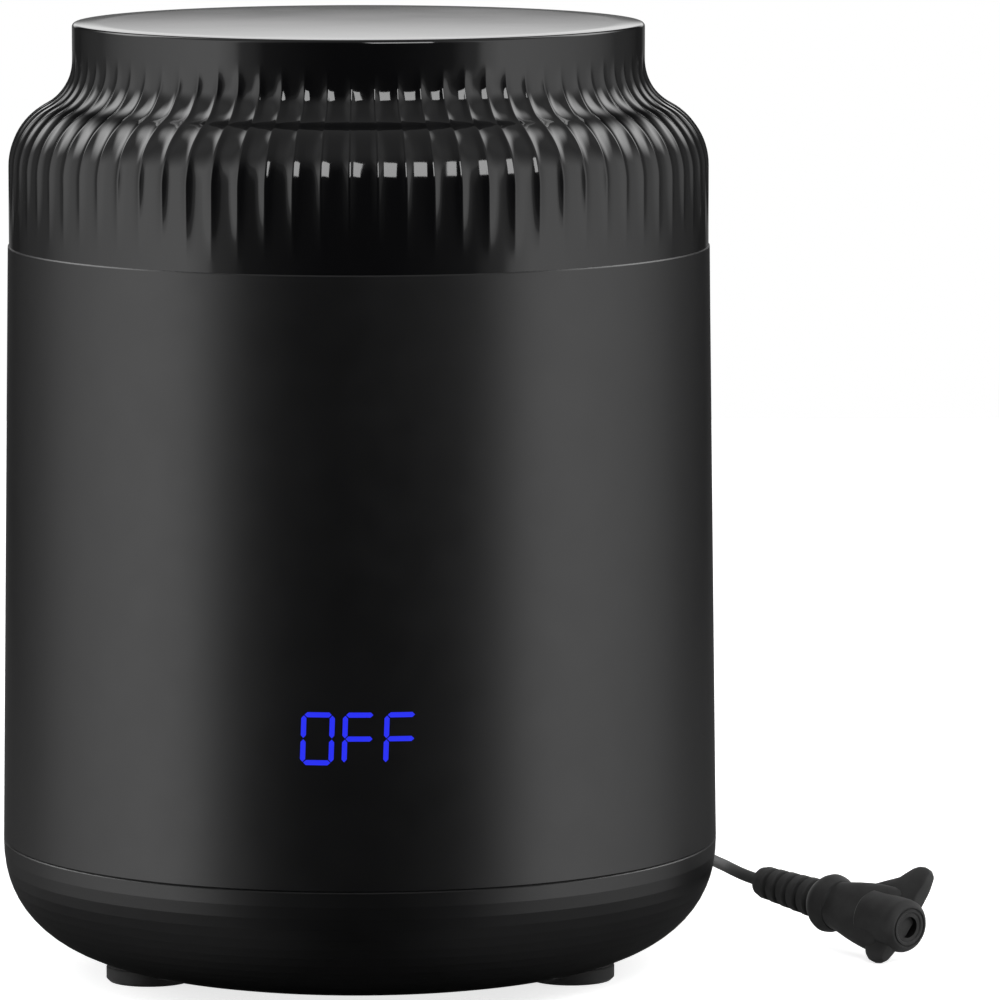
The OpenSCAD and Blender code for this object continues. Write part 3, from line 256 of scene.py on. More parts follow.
def grain_bump(mat, scale, depth, strength=0.5, stretch=(1, 1, 1)):
    """A fine moulded grain, its depth in metres."""
    nodes, links = mat.node_tree.nodes, mat.node_tree.links
    bump = nodes.new("ShaderNodeBump")
    bump.inputs["Strength"].default_value = strength
    bump.inputs["Distance"].default_value = depth
    links.new(noise(mat, scale, 2, stretch).outputs["Fac"], bump.inputs["Height"])
    links.new(bump.outputs["Normal"], nodes["Principled BSDF"].inputs["Normal"])


def shades(colour, spread=0.25):
    """A darker and a lighter shade of a colour."""
    return [tuple(max(0.0, c * (1 + k * spread)) for c in colour) for k in (-1, 1)]


def satin_body(colour):
    mat = finish("satin_black_moulding", colour, 0.36)
    vary_colour(mat, *shades(colour, 0.1), scale=35)
    vary_roughness(mat, 0.31, 0.34, scale=90)
    grain_bump(mat, 5200, 0.00003, 0.25)
    return mat


def polished_smoke(colour):
    mat = finish("polished_smoke_moulding", colour, 0.07)
    shader = mat.node_tree.nodes["Principled BSDF"]
    shader.inputs["IOR"].default_value = 1.43
    vary_roughness(mat, 0.05, 0.09, scale=25)
    grain_bump(mat, 60, 0.00004, 0.12)
    return mat


def plain_plastic(name, colour, roughness=0.5, grain=2500, depth=0.00004):
    mat = finish(name, colour, roughness)
    vary_colour(mat, *shades(colour, 0.15), scale=120)
    vary_roughness(mat, roughness - 0.06, roughness + 0.06, scale=150)
    grain_bump(mat, grain, depth)
    return mat


def rubber(name, colour):
    mat = finish(name, colour, 0.75)
    mat.node_tree.nodes["Principled BSDF"].inputs["Sheen Weight"].default_value = 0.15
    mat.node_tree.nodes["Principled BSDF"].inputs["Sheen Roughness"].default_value = 0.4
    vary_colour(mat, *shades(colour, 0.3), scale=200)
    grain_bump(mat, 3500, 0.00006)
    return mat


def metal(name, colour, roughness=0.3, stretch=(1, 1, 1)):
    mat = finish(name, colour, roughness, metal=1.0)
    vary_colour(mat, *shades(colour, 0.08), scale=300, stretch=stretch)
    vary_roughness(mat, roughness - 0.08, roughness + 0.08, scale=400, stretch=stretch)
    grain_bump(mat, 1500, 0.00002, 0.2, stretch)
    return mat


def lit_blue(colour):
    """Light that shines through the satin wall: an even blue."""
    mat = finish("lit_blue_bar", (0.002, 0.003, 0.03), 0.45)
    shader = mat.node_tree.nodes["Principled BSDF"]
    shader.inputs["Emission Color"].default_value = (*colour, 1)
    shader.inputs["Emission Strength"].default_value = 1.0
    grain_bump(mat, 5200, 0.00003, 0.25)
    return mat


def dress(mat, *nodes):
    """Gives CAD nodes a finish."""
    for node in nodes:
        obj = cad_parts[node]
        obj.data.materials.clear()
        obj.data.materials.append(mat)


# ---------------------------------------------------------------- shapes


def piece(name, verts, faces, mat, body, sharp=30):
    """A new mesh piece with smooth faces, split where they meet at more than the sharp angle."""
    mesh = bpy.data.meshes.new(name)
    mesh.from_pydata([tuple(v) for v in verts], [], faces)
    mesh.update()
    edit = bmesh.new()
    edit.from_mesh(mesh)
    bmesh.ops.recalc_face_normals(edit, faces=edit.faces)
    edit.to_mesh(mesh)
    edit.free()
    mesh.polygons.foreach_set("use_smooth", [True] * len(mesh.polygons))
    mesh.set_sharp_from_angle(angle=math.radians(sharp))
    mesh.materials.append(mat)
    obj = bpy.data.objects.new(name, mesh)
    bpy.context.scene.collection.objects.link(obj)
    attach(obj, body)
    return obj


def turned_faces(rows, columns, open_row=None):
    """Faces between the rings of a closed profile, with none between the open row and the next."""
    faces = []
    for j in range(rows):
        for k in range(columns) if j != open_row else ():
            a, b = j * columns + k, j * columns + (k + 1) % columns
            c, d = ((j + 1) % rows) * columns + k, ((j + 1) % rows) * columns + (k + 1) % columns
            faces.append((a, b, d, c))
    return faces


def arc(cx, cz, r, start, end, steps):
    """Points on an arc, angles in degrees from +X."""
    turn = [math.radians(start + (end - start) * i / steps) for i in range(steps + 1)]
    return [(cx + r * math.cos(t), cz + r * math.sin(t)) for t in turn]


def lid_profile(sizes, inward, steps):
    """The lid's outline from the seam to the neck, moved inward by a wall, as (radius, height) points."""
    drop = SHOULDER_R - sizes.neck_r
    low, high = LID_SEAM + sizes.shoulder_h, TOP - sizes.neck_h
    # The radii of the outward bend and the inward bend together
    both = (drop**2 + (high - low) ** 2) / (2 * drop)
    turn = math.degrees(math.acos((both - drop) / both))
    bend = sizes.shoulder_bend
    outer = arc(SHOULDER_R - bend, low, bend - inward, 0, turn, steps)
    inner = arc(sizes.neck_r + both - bend, high, both - bend + inward, 180 + turn, 180, steps)
    return outer + inner[1:]


def fade(value):
    """A smooth step from 0 to 1."""
    t = min(1, max(0, value))
    return t * t * (3 - 2 * t)


def flute_share(sizes, z):
    """How deep the flutes are at a height, from 0 to 1."""
    rise = fade((z - LID_SEAM - sizes.flute_base_gap) / sizes.flute_run_in)
    fall = fade((TOP - sizes.flute_top_gap - z) / sizes.flute_run_out)
    return rise * fall


def flute_section(ridge=0.06, valley=8, power=3.2):
    """A round ridge and a wide hollow across one flute, as (share of its width, share of its depth)."""
    edge = 1 - 2 * ridge
    steep = 2 * power * edge ** (power - 1)
    deep = steep * ridge / 2 + edge**power
    round_top = (-ridge, -ridge / 2, 0, ridge / 2, ridge)
    section = [(share, steep * share**2 / (2 * ridge * deep)) for share in round_top]
    for i in range(1, valley):
        share = ridge + edge * i / valley
        section.append((share, 1 - abs(2 * share - 1) ** power / deep))
    return section


def fluted_lid(sizes, mat):
    """The lid: flutes with rounded ridges outside, a smooth shell inside."""
    section = flute_section()
    across = len(section)
    columns = sizes.flutes * across
    side = [(SHOULDER_R, LID_SEAM + sizes.shoulder_h * i / 16) for i in range(16)]
    neck_z, rim_z = TOP - sizes.neck_h, TOP - sizes.top_fillet - CROWN
    rise = (rim_z - neck_z) / 8
    neck = [(sizes.neck_r, neck_z + rise * i) for i in range(1, 8)]
    rim = arc(sizes.neck_r - sizes.top_fillet, rim_z, sizes.top_fillet, 0, 90, 5)
    outside = side + lid_profile(sizes, 0, 14) + neck + rim
    disc = [(sizes.neck_r * i / 10, TOP - CROWN * (i / 10) ** 2) for i in range(9, 0, -1)]
    wall = sizes.lid_wall
    ceiling = [(sizes.neck_r * share, TOP - wall) for share in (0.08, 0.5, 0.9)]
    corner_r, seal_gap, chamfer = 3 * MM, 0.1 * MM, 0.6 * MM
    corner = arc(sizes.neck_r - wall - corner_r, TOP - wall - corner_r, corner_r, 90, 0, 4)
    seal_r, seal_top = SEAL.x + seal_gap, SEAL.z + seal_gap
    rebate = [(SHOULDER_R - wall, seal_top + chamfer), (seal_r, seal_top), (seal_r, LID_SEAM)]
    profile = outside + disc + ceiling + corner + lid_profile(sizes, wall, 10)[::-1] + rebate
    last = len(outside) + len(disc) - 1

    verts = []
    for j, (r, z) in enumerate(profile):
        depth = sizes.flute_depth * flute_share(sizes, z) if j < len(outside) else 0
        for k in range(columns):
            share, hollow = section[k % across]
            a = 2 * math.pi * (k // across + share + sizes.flute_turn) / sizes.flutes
            reach = r - depth * hollow
            verts.append((reach * math.cos(a), reach * math.sin(a), z))
    faces = turned_faces(len(profile), columns, last)
    for row, z in ((last, TOP), (last + 1, TOP - wall)):
        verts.append((0, 0, z))
        centre = len(verts) - 1
        for k in range(columns):
            faces.append((row * columns + k, row * columns + (k + 1) % columns, centre))
    return piece("lid_fluted_shell", verts, faces, mat, "lid", sharp=24)


def cord_route(sizes):
    """The cord's whole route: down from the gland, round the coil's two layers, then to the connector."""
    turns = sizes.coil_turns
    centre = (COIL[0] + COIL[1]) / 2
    outer = (COIL[1].x - COIL[0].x) / 2 - sizes.cord_d / 2
    inner = outer - (turns - 1) * sizes.cord_d
    steps = 24
    low, high = sizes.cord_d / 2, sizes.cord_d * 1.5
    total = (turns - 1) * 2 + 0.25
    coil = []
    for i in range(int(total * steps) + 1):
        t = i / steps
        if t < turns - 1:
            r = outer - (outer - inner) * t / (turns - 1)
        elif t < turns - 1 + 0.25:
            r = inner
        else:
            r = inner + (outer - inner) * (t - turns + 0.75) / (turns - 1)
        z = low + (high - low) * fade((t - turns + 1.2) / 0.45)
        a = math.pi - 2 * math.pi * t
        coil.append((centre.x + r * math.cos(a), centre.y + r * math.sin(a), z))
    return LEAD_POINTS + coil[1:-1] + TAIL_POINTS


def cord_curve(name, points, diameter, mat):
    """A round cord along its route, as one smooth open spline."""
    curve = bpy.data.curves.new(name, "CURVE")
    curve.dimensions = "3D"
    curve.bevel_depth = diameter / 2
    curve.bevel_resolution = 6
    curve.use_fill_caps = True
    curve.resolution_u = 6
    spline = curve.splines.new("NURBS")
    spline.points.add(len(points) - 1)
    for knot, place in zip(spline.points, points):
        knot.co = (*place, 1)
    spline.order_u = 4
    spline.use_endpoint_u = True
    curve.materials.append(mat)
    obj = bpy.data.objects.new(name, curve)
    bpy.context.scene.collection.objects.link(obj)
    return obj


def revolve_x(profile, columns):
    """Vertices and faces of a closed profile, (radius, length) points, turned about X."""
    verts = []
    for r, x in profile:
        for k in range(columns):
            a = 2 * math.pi * k / columns
            verts.append((x, r * math.cos(a), r * math.sin(a)))
    return verts, turned_faces(len(profile), columns)


def join(*parts):
    """Several (verts, faces) pairs as one."""
    verts, faces = [], []
    for more, their_faces in parts:
        faces += [tuple(i + len(verts) for i in face) for face in their_faces]
        verts += more
    return verts, faces


def loft(rings):
    """A closed skin through rings of equal length, capped at both ends."""
    count = len(rings[0])
    verts = [point for ring in rings for point in ring]
    faces = []
    for j in range(len(rings) - 1):
        for k in range(count):
            a, b = j * count + k, j * count + (k + 1) % count
            faces.append((a, b, b + count, a + count))
    faces.append(tuple(range(count))[::-1])
    faces.append(tuple(range((len(rings) - 1) * count, len(rings) * count)))
    return verts, faces


def squircle(x, half_y, half_z, power, count):
    """A rounded ring in the plane at x, squarer as the power grows."""
    ring = []
    for k in range(count):
        a = 2 * math.pi * k / count
        c, s = math.cos(a), math.sin(a)
        y = half_y * math.copysign(abs(c) ** (2 / power), c)
        z = half_z * math.copysign(abs(s) ** (2 / power), s)
        ring.append((x, y, z))
    return ring


def at_connector(verts):
    """Moves points from the connector's own axes to where it lies."""
    turn = Matrix.Rotation(math.radians(CONNECTOR_YAW), 4, "Z")
    nod = Matrix.Rotation(math.radians(CONNECTOR_PITCH), 4, "Y")
    roll = Matrix.Rotation(math.radians(CONNECTOR_ROLL), 4, "X")
    place = Matrix.Translation(CONNECTOR_TAIL) @ turn @ nod @ roll
    return [place @ Vector(v) for v in verts]


def connector_parts():
    """The connector: ribbed relief, collar, tapered grip with two wings, and a round nose with its socket."""
    long, relief, collar, nose = 74 * MM, 31 * MM, 9 * MM, 14 * MM
    nose_x, grip_x, wing_rise = long - nose, relief + collar, 3.2 * MM
    ribs = [(AXIS_R, 0), (3.6 * MM, 0), (4.8 * MM, 1.2 * MM), (4.9 * MM, 1.8 * MM)]
    pitch = (relief - 4 * MM) / 5
    for i in range(5):
        x, r = 3 * MM + i * pitch, 5.4 * MM + 0.25 * MM * i
        ribs += [(r - 0.35 * MM, x), (r, x + 0.35 * MM)]
        groove = ((0, 2.3), (0.35, 2), (1.5, 1.8), (1.7, 1.6), (1.7, 0.4))
        ribs += [(r - back * MM, x + pitch - ahead * MM) for back, ahead in groove]
    ribs += [(6.6 * MM, relief - 0.2 * MM), (7.8 * MM, relief + 0.8 * MM), (9.1 * MM, relief + 2.8 * MM)]
    ribs += [(9.7 * MM, relief + 4.4 * MM), (9.5 * MM, relief + 6 * MM), (8.4 * MM, grip_x), (AXIS_R, grip_x)]
    around = 48
    strain = revolve_x(ribs, around)

    grip_rings = []
    for x, wide, high, power in (
        (-4, 7.6, 7.2, 2.2), (-1, 7.8, 7.0, 2.4), (3, 8.3, 6.6, 2.9), (7, 9.2, 6.3, 3.3),
        (12, 10.1, 6.1, 3.6), (17, 10.8, 5.9, 3.6), (21, 11.1, 5.8, 3.4), (24, 10.8, 5.6, 3.0),
        (26, 9.6, 5.4, 2.6),
    ):
        grip_rings.append(squircle(grip_x + x * MM, wide * MM, high * MM, power, around))
    grip = loft(grip_rings)

    wing_rings = []
    for x, wide, high in (
        (6, 4.4, 2.3), (11, 7.6, 2.5), (15, 9.8, 2.6), (19.5, 12.2, 2.6), (21.5, 14.6, 2.6),
        (23, 16.4, 2.6), (25, 17.6, 2.6), (27.5, 17.9, 2.6), (29.5, 17.5, 2.6), (31, 16.3, 2.5),
        (31.7, 13.8, 2.4), (32, 9, 2.2),
    ):
        ring = squircle(grip_x + x * MM, wide * MM, high * MM, 3.6, around)
        wing_rings.append([(a, b + wing_rise, c) for a, b, c in ring])
    wings = loft(wing_rings)

    face = [(AXIS_R, nose_x - 4 * MM), (8.4 * MM, nose_x - 4 * MM), (8.8 * MM, nose_x - 3.4 * MM)]
    for r, back in (
        (8.8, 3.0), (8.65, 2.1), (8.25, 1.25), (7.6, 0.5), (7.1, 0.1), (6.9, 0), (6.55, 0), (6.45, 0.5),
        (5.95, 0.5), (5.85, 0), (5.2, 0), (4.9, 0.3), (4.9, 11.9),
    ):
        face.append((r * MM, long - back * MM))
    face.append((AXIS_R, long - 11.9 * MM))
    return join(strain, grip, wings, revolve_x(face, 64))


# ---------------------------------------------------------------- the stage


def direction_shade(nodes, links, axis, low, high, dark, light, space="Generated", smooth=True):
    """A value that runs smoothly from one level to another along an axis."""
    place = nodes.new("ShaderNodeTexCoord")
    split = nodes.new("ShaderNodeSeparateXYZ")
    spread = nodes.new("ShaderNodeMapRange")
    spread.interpolation_type = "SMOOTHSTEP" if smooth else "LINEAR"
    for name, value in (("From Min", low), ("From Max", high), ("To Min", dark), ("To Max", light)):
        spread.inputs[name].default_value = value
    links.new(place.outputs[space], split.inputs["Vector"])
    links.new(split.outputs[axis], spread.inputs["Value"])
    return spread.outputs["Result"]


# Brightness of the side windows from the front, 0, round to the back, 1
SIDE_LEVELS = (
    (0.028, 0.03), (0.061, 0.04), (0.105, 0.07), (0.13, 0.22), (0.165, 0.3), (0.185, 0.8), (0.237, 1.1),
    (0.322, 1.05), (0.419, 0.9), (0.529, 0.7), (0.651, 0.44), (0.787, 0.12), (0.936, 0.02),
)


def studio_world():
    """White for the camera, soft windows at the sides for gloss, and an even fill for matt surfaces."""
    world = bpy.data.worlds.new("soft_studio")
    bpy.context.scene.world = world
    world.use_nodes = True
    nodes, links = world.node_tree.nodes, world.node_tree.links
    nodes.clear()

    def background(strength):
        shade = nodes.new("ShaderNodeBackground")
        shade.inputs["Color"].default_value = (1, 1, 1, 1)
        shade.inputs["Strength"].default_value = strength
        return shade

    def combine(operation, first, second):
        node = nodes.new("ShaderNodeMath")
        node.operation = operation
        for socket, value in zip(node.inputs, (first, second)):
            if isinstance(value, float):
                socket.default_value = value
            else:
                links.new(value, socket)
        return node.outputs["Value"]

    rays = nodes.new("ShaderNodeLightPath")
    fill, mirror, seen = background(0.45), background(1.0), background(1.0)
    round_about = nodes.new("ShaderNodeValToRGB")
    levels = round_about.color_ramp.elements
    levels[0].color = (0.02, 0.02, 0.02, 1)
    levels[1].color = (0.03, 0.03, 0.03, 1)
    for spot, level in SIDE_LEVELS:
        levels.new(spot).color = (level, level, level, 1)
    links.new(direction_shade(nodes, links, "Y", -1, 1, 0, 1, smooth=False), round_about.inputs["Fac"])
    right = direction_shade(nodes, links, "X", 0.1, 0.55, 0, 0.92)
    left = direction_shade(nodes, links, "X", -0.1, -0.55, 0, 1)
    above_floor = direction_shade(nodes, links, "Z", -0.45, -0.2, 0.2, 2)
    width = combine("MULTIPLY", combine("ADD", left, right), above_floor)
    sides = combine("MULTIPLY", width, round_about.outputs["Color"])
    sides = combine("MULTIPLY", sides, direction_shade(nodes, links, "Z", 0.35, 0.75, 1, 0.2))
    # Two tall windows high up behind the sides, which light the crests of the shoulder's ridges
    reach = [direction_shade(nodes, links, "X", side * 0.3, side * 0.6, 0, 1) for side in (-1, 1)]
    tall = combine("MULTIPLY", combine("ADD", *reach), direction_shade(nodes, links, "Z", 0.25, 0.55, 0, 4.0))
    for low, high, dark, light in ((0.1, 0.4, 0, 1), (0.55, 0.8, 1, 0.1)):
        tall = combine("MULTIPLY", tall, direction_shade(nodes, links, "Y", low, high, dark, light))
    sides = combine("ADD", sides, tall)
    far_back = direction_shade(nodes, links, "Y", 0.93, 0.985, 0, 1)
    behind = combine("MULTIPLY", far_back, direction_shade(nodes, links, "Z", 0.042, 0.095, 0.14, 1.15))
    overhead = combine("ADD", behind, direction_shade(nodes, links, "Z", 0.45, 0.9, 0, 0.35))
    links.new(combine("ADD", sides, overhead), mirror.inputs["Strength"])
    gloss = nodes.new("ShaderNodeMixShader")
    links.new(rays.outputs["Is Glossy Ray"], gloss.inputs["Fac"])
    links.new(fill.outputs["Background"], gloss.inputs[1])
    links.new(mirror.outputs["Background"], gloss.inputs[2])
    camera = nodes.new("ShaderNodeMixShader")
    links.new(rays.outputs["Is Camera Ray"], camera.inputs["Fac"])
    links.new(gloss.outputs["Shader"], camera.inputs[1])
    links.new(seen.outputs["Background"], camera.inputs[2])
    out = nodes.new("ShaderNodeOutputWorld")
    links.new(camera.outputs["Shader"], out.inputs["Surface"])


def pale_floor():
    """A plain pale floor that keeps the object's shadow and runs out to white."""
    mesh = bpy.data.meshes.new("studio_floor")
    mesh.from_pydata([(-0.45, -0.6, 0), (0.55, -0.6, 0), (0.55, 1.6, 0), (-0.45, 1.6, 0)], [], [(0, 1, 2, 3)])
    floor = bpy.data.objects.new("studio_floor", mesh)
    bpy.context.scene.collection.objects.link(floor)
    floor.location.z = -0.2 * MM
    mat = finish("pale_floor", (0.8, 0.8, 0.8), 0.9)
    nodes, links = mat.node_tree.nodes, mat.node_tree.links
    # The camera sees the floor lifted to near white, apart from the shadow
    rays = nodes.new("ShaderNodeLightPath")
    lift = nodes.new("ShaderNodeMath")
    lift.operation = "MULTIPLY"
    lift.inputs[1].default_value = 0.75
    glow = nodes.new("ShaderNodeEmission")
    links.new(rays.outputs["Is Camera Ray"], lift.inputs[0])
    links.new(lift.outputs["Value"], glow.inputs["Strength"])
    both = nodes.new("ShaderNodeAddShader")
    links.new(nodes["Principled BSDF"].outputs["BSDF"], both.inputs[0])
    links.new(glow.outputs["Emission"], both.inputs[1])
    # Glossy surfaces see through it, a little less so behind the object's front
    front = direction_shade(nodes, links, "Y", -0.14, -0.02, 1.0, 0.92, "Object")
    mask = nodes.new("ShaderNodeMath")
    mask.operation = "MULTIPLY"
    links.new(rays.outputs["Is Glossy Ray"], mask.inputs[0])
    links.new(front, mask.inputs[1])
    clear = nodes.new("ShaderNodeBsdfTransparent")
    table = nodes.new("ShaderNodeMixShader")
    links.new(mask.outputs["Value"], table.inputs["Fac"])
    links.new(both.outputs["Shader"], table.inputs[1])
    links.new(clear.outputs["BSDF"], table.inputs[2])
    links.new(table.outputs["Shader"], nodes["Material Output"].inputs["Surface"])
    mesh.materials.append(mat)


def softbox(name, place, target, width, height, radiance, glossy=True):
    """A rectangular soft light of an even brightness, aimed at a point."""
    light = bpy.data.lights.new(name, "AREA")
    light.shape = "RECTANGLE"
    light.size, light.size_y = width, height
    light.energy = radiance * math.pi * width * height
    obj = bpy.data.objects.new(name, light)
    obj.location = place
    obj.rotation_euler = (Vector(target) - Vector(place)).to_track_quat("-Z", "Y").to_euler()
    obj.visible_glossy = glossy
    bpy.context.scene.collection.objects.link(obj)


class DRYER_OT_stage(Operator):
    """Adds the camera, the pale floor, the soft lights and the studio world"""

    bl_idname = "dryer.stage"
    bl_label = "Stage"

    def execute(self, context):
        scene = context.scene
        scene.view_settings.view_transform = "Standard"
        lens = bpy.data.cameras.new("studio_camera")
        lens.lens, lens.sensor_width = 292.7, 36
        lens.clip_start, lens.clip_end = 0.1, 60
        camera = bpy.data.objects.new("studio_camera", lens)
        camera.location = (0, -2.597, 0.466)
        camera.rotation_euler = (math.radians(83.1), 0, math.radians(-0.997))
        scene.collection.objects.link(camera)
        scene.camera = camera
        studio_world()
        pale_floor()
        softbox("left_softbox", (-1.30, -0.37, 0.85), (0, 0, 0.85), 1.4, 3.3, 1.9, glossy=False)
        softbox("right_softbox", (1.28, -0.43, 0.85), (0, 0, 0.85), 1.4, 3.3, 1.8, glossy=False)
        softbox("front_window", (0.31, -1.005, 0.87), (0, 0, 0.28), 0.5, 0.46, 9.5)
        return {"FINISHED"}


# ---------------------------------------------------------------- the pieces


class DRYER_OT_cord(Operator):
    """Lays the mains cord from the gland through its coil to the connector"""

    bl_idname = "dryer.cord"
    bl_label = "Cord and connector"

    def execute(self, context):
        sizes, colours = context.scene.dryer_sizes, context.scene.dryer_colours
        black = rubber("soft_cord_black", colours.cord)
        verts, faces = connector_parts()
        plug = piece("connector", at_connector(verts), faces, black, "housing")
        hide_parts("connector_body")
        points = cord_route(sizes)
        cord = cord_curve("mains_cord", points, sizes.cord_d, black)
        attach(cord, "housing")
        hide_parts("cord_lead", "cord_coil", "cord_tail")
        dress(black, "cord_gland")
        # The socket's contact sleeve is real metal; its near-black colour is painted shade for the inside of
        # the socket.
        dress(metal("contact_sleeve_painted_shade", (0.05, 0.05, 0.05), 0.5), "connector_sleeve")
        return {"FINISHED"}


class DRYER_OT_lid(Operator):
    """Makes the fluted lid and dresses its seal"""

    bl_idname = "dryer.lid"
    bl_label = "Fluted lid"

    def execute(self, context):
        sizes, colours = context.scene.dryer_sizes, context.scene.dryer_colours
        lid = fluted_lid(sizes, polished_smoke(colours.lid))
        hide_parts("lid_shell")
        dress(rubber("silicone_seal_grey", (0.1, 0.1, 0.105)), "lid_seal")
        return {"FINISHED"}


class DRYER_OT_shells(Operator):
    """Dresses the outer shell, the base, the feet and their screws"""

    bl_idname = "dryer.shells"
    bl_label = "Shells and feet"

    def execute(self, context):
        colours = context.scene.dryer_colours
        body = satin_body(colours.body)
        dress(body, "outer_shell", "base_shell")
        dress(rubber("foot_rubber_black", colours.rubber), "rubber_feet")
        steel = metal("screw_steel_bright", colours.steel, 0.28)
        dress(steel, "base_screws", "cradle_screws", "duct_screws", "fan_screws", "board_screws")
        return {"FINISHED"}


class DRYER_OT_display(Operator):
    """Draws the lit bars of the display, which shine through the body's wall"""

    bl_idname = "dryer.display"
    bl_label = "Display"

    def execute(self, context):
        colours = context.scene.dryer_colours
        middle = (DIGITS[0] + DIGITS[1]) / 2
        pitch, wide, high, bar = 12.85 * MM, 10.4 * MM, 16.5 * MM, 1.6 * MM
        lean = math.tan(math.radians(2))
        shift, gap, proud = 0.4 * MM, 0.25 * MM, 0.09 * MM
        bars = {
            "a": ((-1, 1), (1, 1)), "b": ((1, 1), (1, 0)), "c": ((1, 0), (1, -1)), "d": ((1, -1), (-1, -1)),
            "e": ((-1, -1), (-1, 0)), "f": ((-1, 0), (-1, 1)), "g": ((-1, 0), (1, 0)),
        }
        verts, faces = [], []
        for place, lit in enumerate(("abcdef", "aefg", "aefg")):
            centre_x = middle.x + shift + (place - 1) * pitch
            for name in lit:
                (x0, z0), (x1, z1) = bars[name]
                half_x, half_z = (wide - bar) / 2, (high - bar) / 2
                start = Vector((x0 * half_x, z0 * half_z))
                end = Vector((x1 * half_x, z1 * half_z))
                along = (end - start).normalized()
                start, end = start + along * gap, end - along * gap
                across = Vector((-along.y, along.x)) * bar / 2
                first, tips, steps = len(verts), bar / 2, 6
                outline = [start]
                for i in range(steps + 1):
                    outline.append(start + along * tips + (end - start - along * 2 * tips) * i / steps)
                outline.append(end)
                ring = []
                for i, p in enumerate(outline):
                    side = across if 0 < i < len(outline) - 1 else across * 0.08
                    ring += [p + side, p - side]
                for p in ring:
                    x = centre_x + p.x + lean * p.y
                    z = middle.z + p.y
                    reach = BODY_R - (BODY_R - BODY_TOP_R) * (z - BASE_SEAM) / (LID_SEAM - BASE_SEAM)
                    y = -math.sqrt(reach**2 - x**2)
                    verts.append((x, y - proud, z))
                for i in range(len(outline) - 1):
                    a = first + 2 * i
                    faces.append((a, a + 2, a + 3, a + 1))
        glow = lit_blue(colours.glow)
        skin = bpy.data.meshes.new("display_glow")
        skin.from_pydata(verts, [], faces)
        skin.materials.append(glow)
        obj = bpy.data.objects.new("display_glow", skin)
        context.scene.collection.objects.link(obj)
        thick = obj.modifiers.new("skin", "SOLIDIFY")
        thick.thickness, thick.offset = 0.05 * MM, 1
        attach(obj, "housing")
        dress(glow, "display_segments")
        return {"FINISHED"}


class DRYER_OT_chamber(Operator):
    """Dresses the drying chamber: liner, grille, rollers and their bearings"""

    bl_idname = "dryer.chamber"
    bl_label = "Chamber and rollers"

    def execute(self, context):
        colours = context.scene.dryer_colours
        liner = plain_plastic("liner_charcoal_moulding", colours.liner, 0.48)
        dress(liner, "chamber_liner", "sensor_cap")
        cradle = plain_plastic("cradle_black_moulding", (0.02, 0.02, 0.022), 0.5)
        dress(cradle, "roller_cradle", "floor_grille")
        roller = plain_plastic("roller_grey_moulding", (0.07, 0.07, 0.075), 0.42)
        dress(roller, "front_roller", "rear_roller")
        sleeve = rubber("sleeve_rubber_black", colours.rubber)
        dress(sleeve, "front_roller_sleeves", "rear_roller_sleeves")
        steel = metal("bearing_steel_ground", colours.steel, 0.22)
        dress(steel, "front_bearings", "rear_bearings", "bearing_inner_rings")
        dress(steel, "roller_axles", "axle_clips")
        black = plain_plastic("outlet_black_moulding", (0.012, 0.012, 0.013), 0.4)
        dress(black, "filament_outlet", "outlet_nut")
        return {"FINISHED"}


class DRYER_OT_air(Operator):
    """Dresses the air path: duct, heater and fan"""

    bl_idname = "dryer.air"
    bl_label = "Heater and fan"

    def execute(self, context):
        dress(plain_plastic("duct_grey_moulding", (0.045, 0.045, 0.048), 0.55), "heater_duct")
        dress(plain_plastic("heater_frame_ivory", (0.55, 0.48, 0.34), 0.55), "heater_frame")
        brushed = metal("fin_aluminium_brushed", (0.72, 0.73, 0.75), 0.34, (1, 12, 1))
        dress(brushed, "heater_fins")
        dress(metal("bar_aluminium_dull", (0.6, 0.6, 0.62), 0.42, (14, 1, 1)), "heater_bars")
        dress(plain_plastic("fuse_ceramic_white", (0.62, 0.6, 0.56), 0.6), "thermal_fuse")
        fan = plain_plastic("fan_black_moulding", (0.014, 0.014, 0.015), 0.38)
        dress(fan, "fan_frame", "fan_rotor")
        dress(metal("coil_copper_lacquered", (0.72, 0.3, 0.13), 0.3, (1, 1, 18)), "fan_stator")
        dress(metal("magnet_grey_sintered", (0.16, 0.16, 0.17), 0.5), "fan_magnet")
        dress(metal("shaft_steel_polished", (0.66, 0.67, 0.69), 0.16), "fan_shaft")
        return {"FINISHED"}


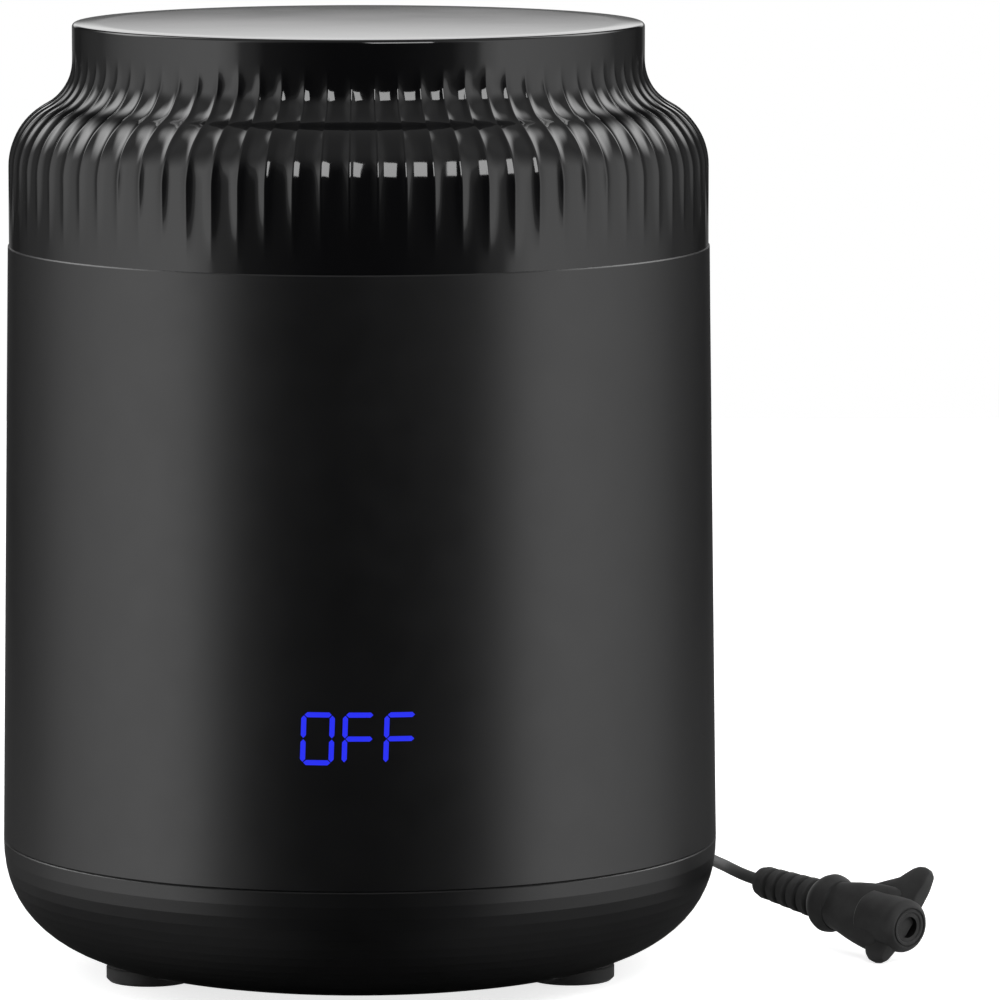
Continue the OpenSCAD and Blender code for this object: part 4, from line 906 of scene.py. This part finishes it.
class DRYER_OT_electronics(Operator):
    """Dresses the boards, their parts and the mains wiring"""

    bl_idname = "dryer.electronics"
    bl_label = "Electronics"

    def execute(self, context):
        colours = context.scene.dryer_colours
        mask = plain_plastic("board_green_mask", colours.board, 0.36, 900, 0.00003)
        dress(mask, "control_board", "display_board", "sensor_board")
        dress(plain_plastic("transformer_tape_yellow", (0.6, 0.4, 0.05), 0.4, 500), "power_transformer")
        dress(plain_plastic("relay_blue_case", (0.02, 0.09, 0.36), 0.3), "heater_relay")
        dress(plain_plastic("capacitor_black_sleeve", (0.014, 0.014, 0.02), 0.25, 600), "power_capacitors")
        dress(plain_plastic("terminal_green_case", (0.03, 0.28, 0.09), 0.45), "terminal_block")
        dress(plain_plastic("display_black_case", (0.01, 0.01, 0.012), 0.3), "display_module")
        dress(metal("spring_steel_bright", colours.steel, 0.24), "touch_springs")
        dress(plain_plastic("ribbon_grey_vinyl", (0.42, 0.42, 0.44), 0.5, 700, 0.0001), "display_ribbon")
        dress(rubber("sheath_black_vinyl", colours.cord), "mains_lead", "gland_nut")
        return {"FINISHED"}


STEPS = (
    DRYER_OT_stage,
    DRYER_OT_cord,
    DRYER_OT_shells,
    DRYER_OT_lid,
    DRYER_OT_display,
    DRYER_OT_chamber,
    DRYER_OT_air,
    DRYER_OT_electronics,
)


class DRYER_PT_panel(Panel):
    """Lists the dryer's sizes, colours and building steps"""

    bl_idname = "DRYER_PT_panel"
    bl_label = "Filament Dryer"
    bl_space_type = "VIEW_3D"
    bl_region_type = "UI"
    bl_category = "Dryer"

    def draw(self, context):
        for group in (context.scene.dryer_sizes, context.scene.dryer_colours):
            column = self.layout.box().column()
            for name in group.__annotations__:
                column.prop(group, name)
        for step in STEPS:
            self.layout.operator(step.bl_idname)


CLASSES = (DryerSizes, DryerColours, *STEPS, DRYER_PT_panel)


def register():
    for cls in CLASSES:
        bpy.utils.register_class(cls)
    bpy.types.Scene.dryer_sizes = PointerProperty(type=DryerSizes)
    bpy.types.Scene.dryer_colours = PointerProperty(type=DryerColours)


def unregister():
    del bpy.types.Scene.dryer_colours
    del bpy.types.Scene.dryer_sizes
    for cls in reversed(CLASSES):
        bpy.utils.unregister_class(cls)


def main():
    register()
    for step in STEPS:
        group, name = step.bl_idname.split(".")
        getattr(getattr(bpy.ops, group), name)()
    bpy.context.view_layer.update()


if __name__ == "__main__":
    main()
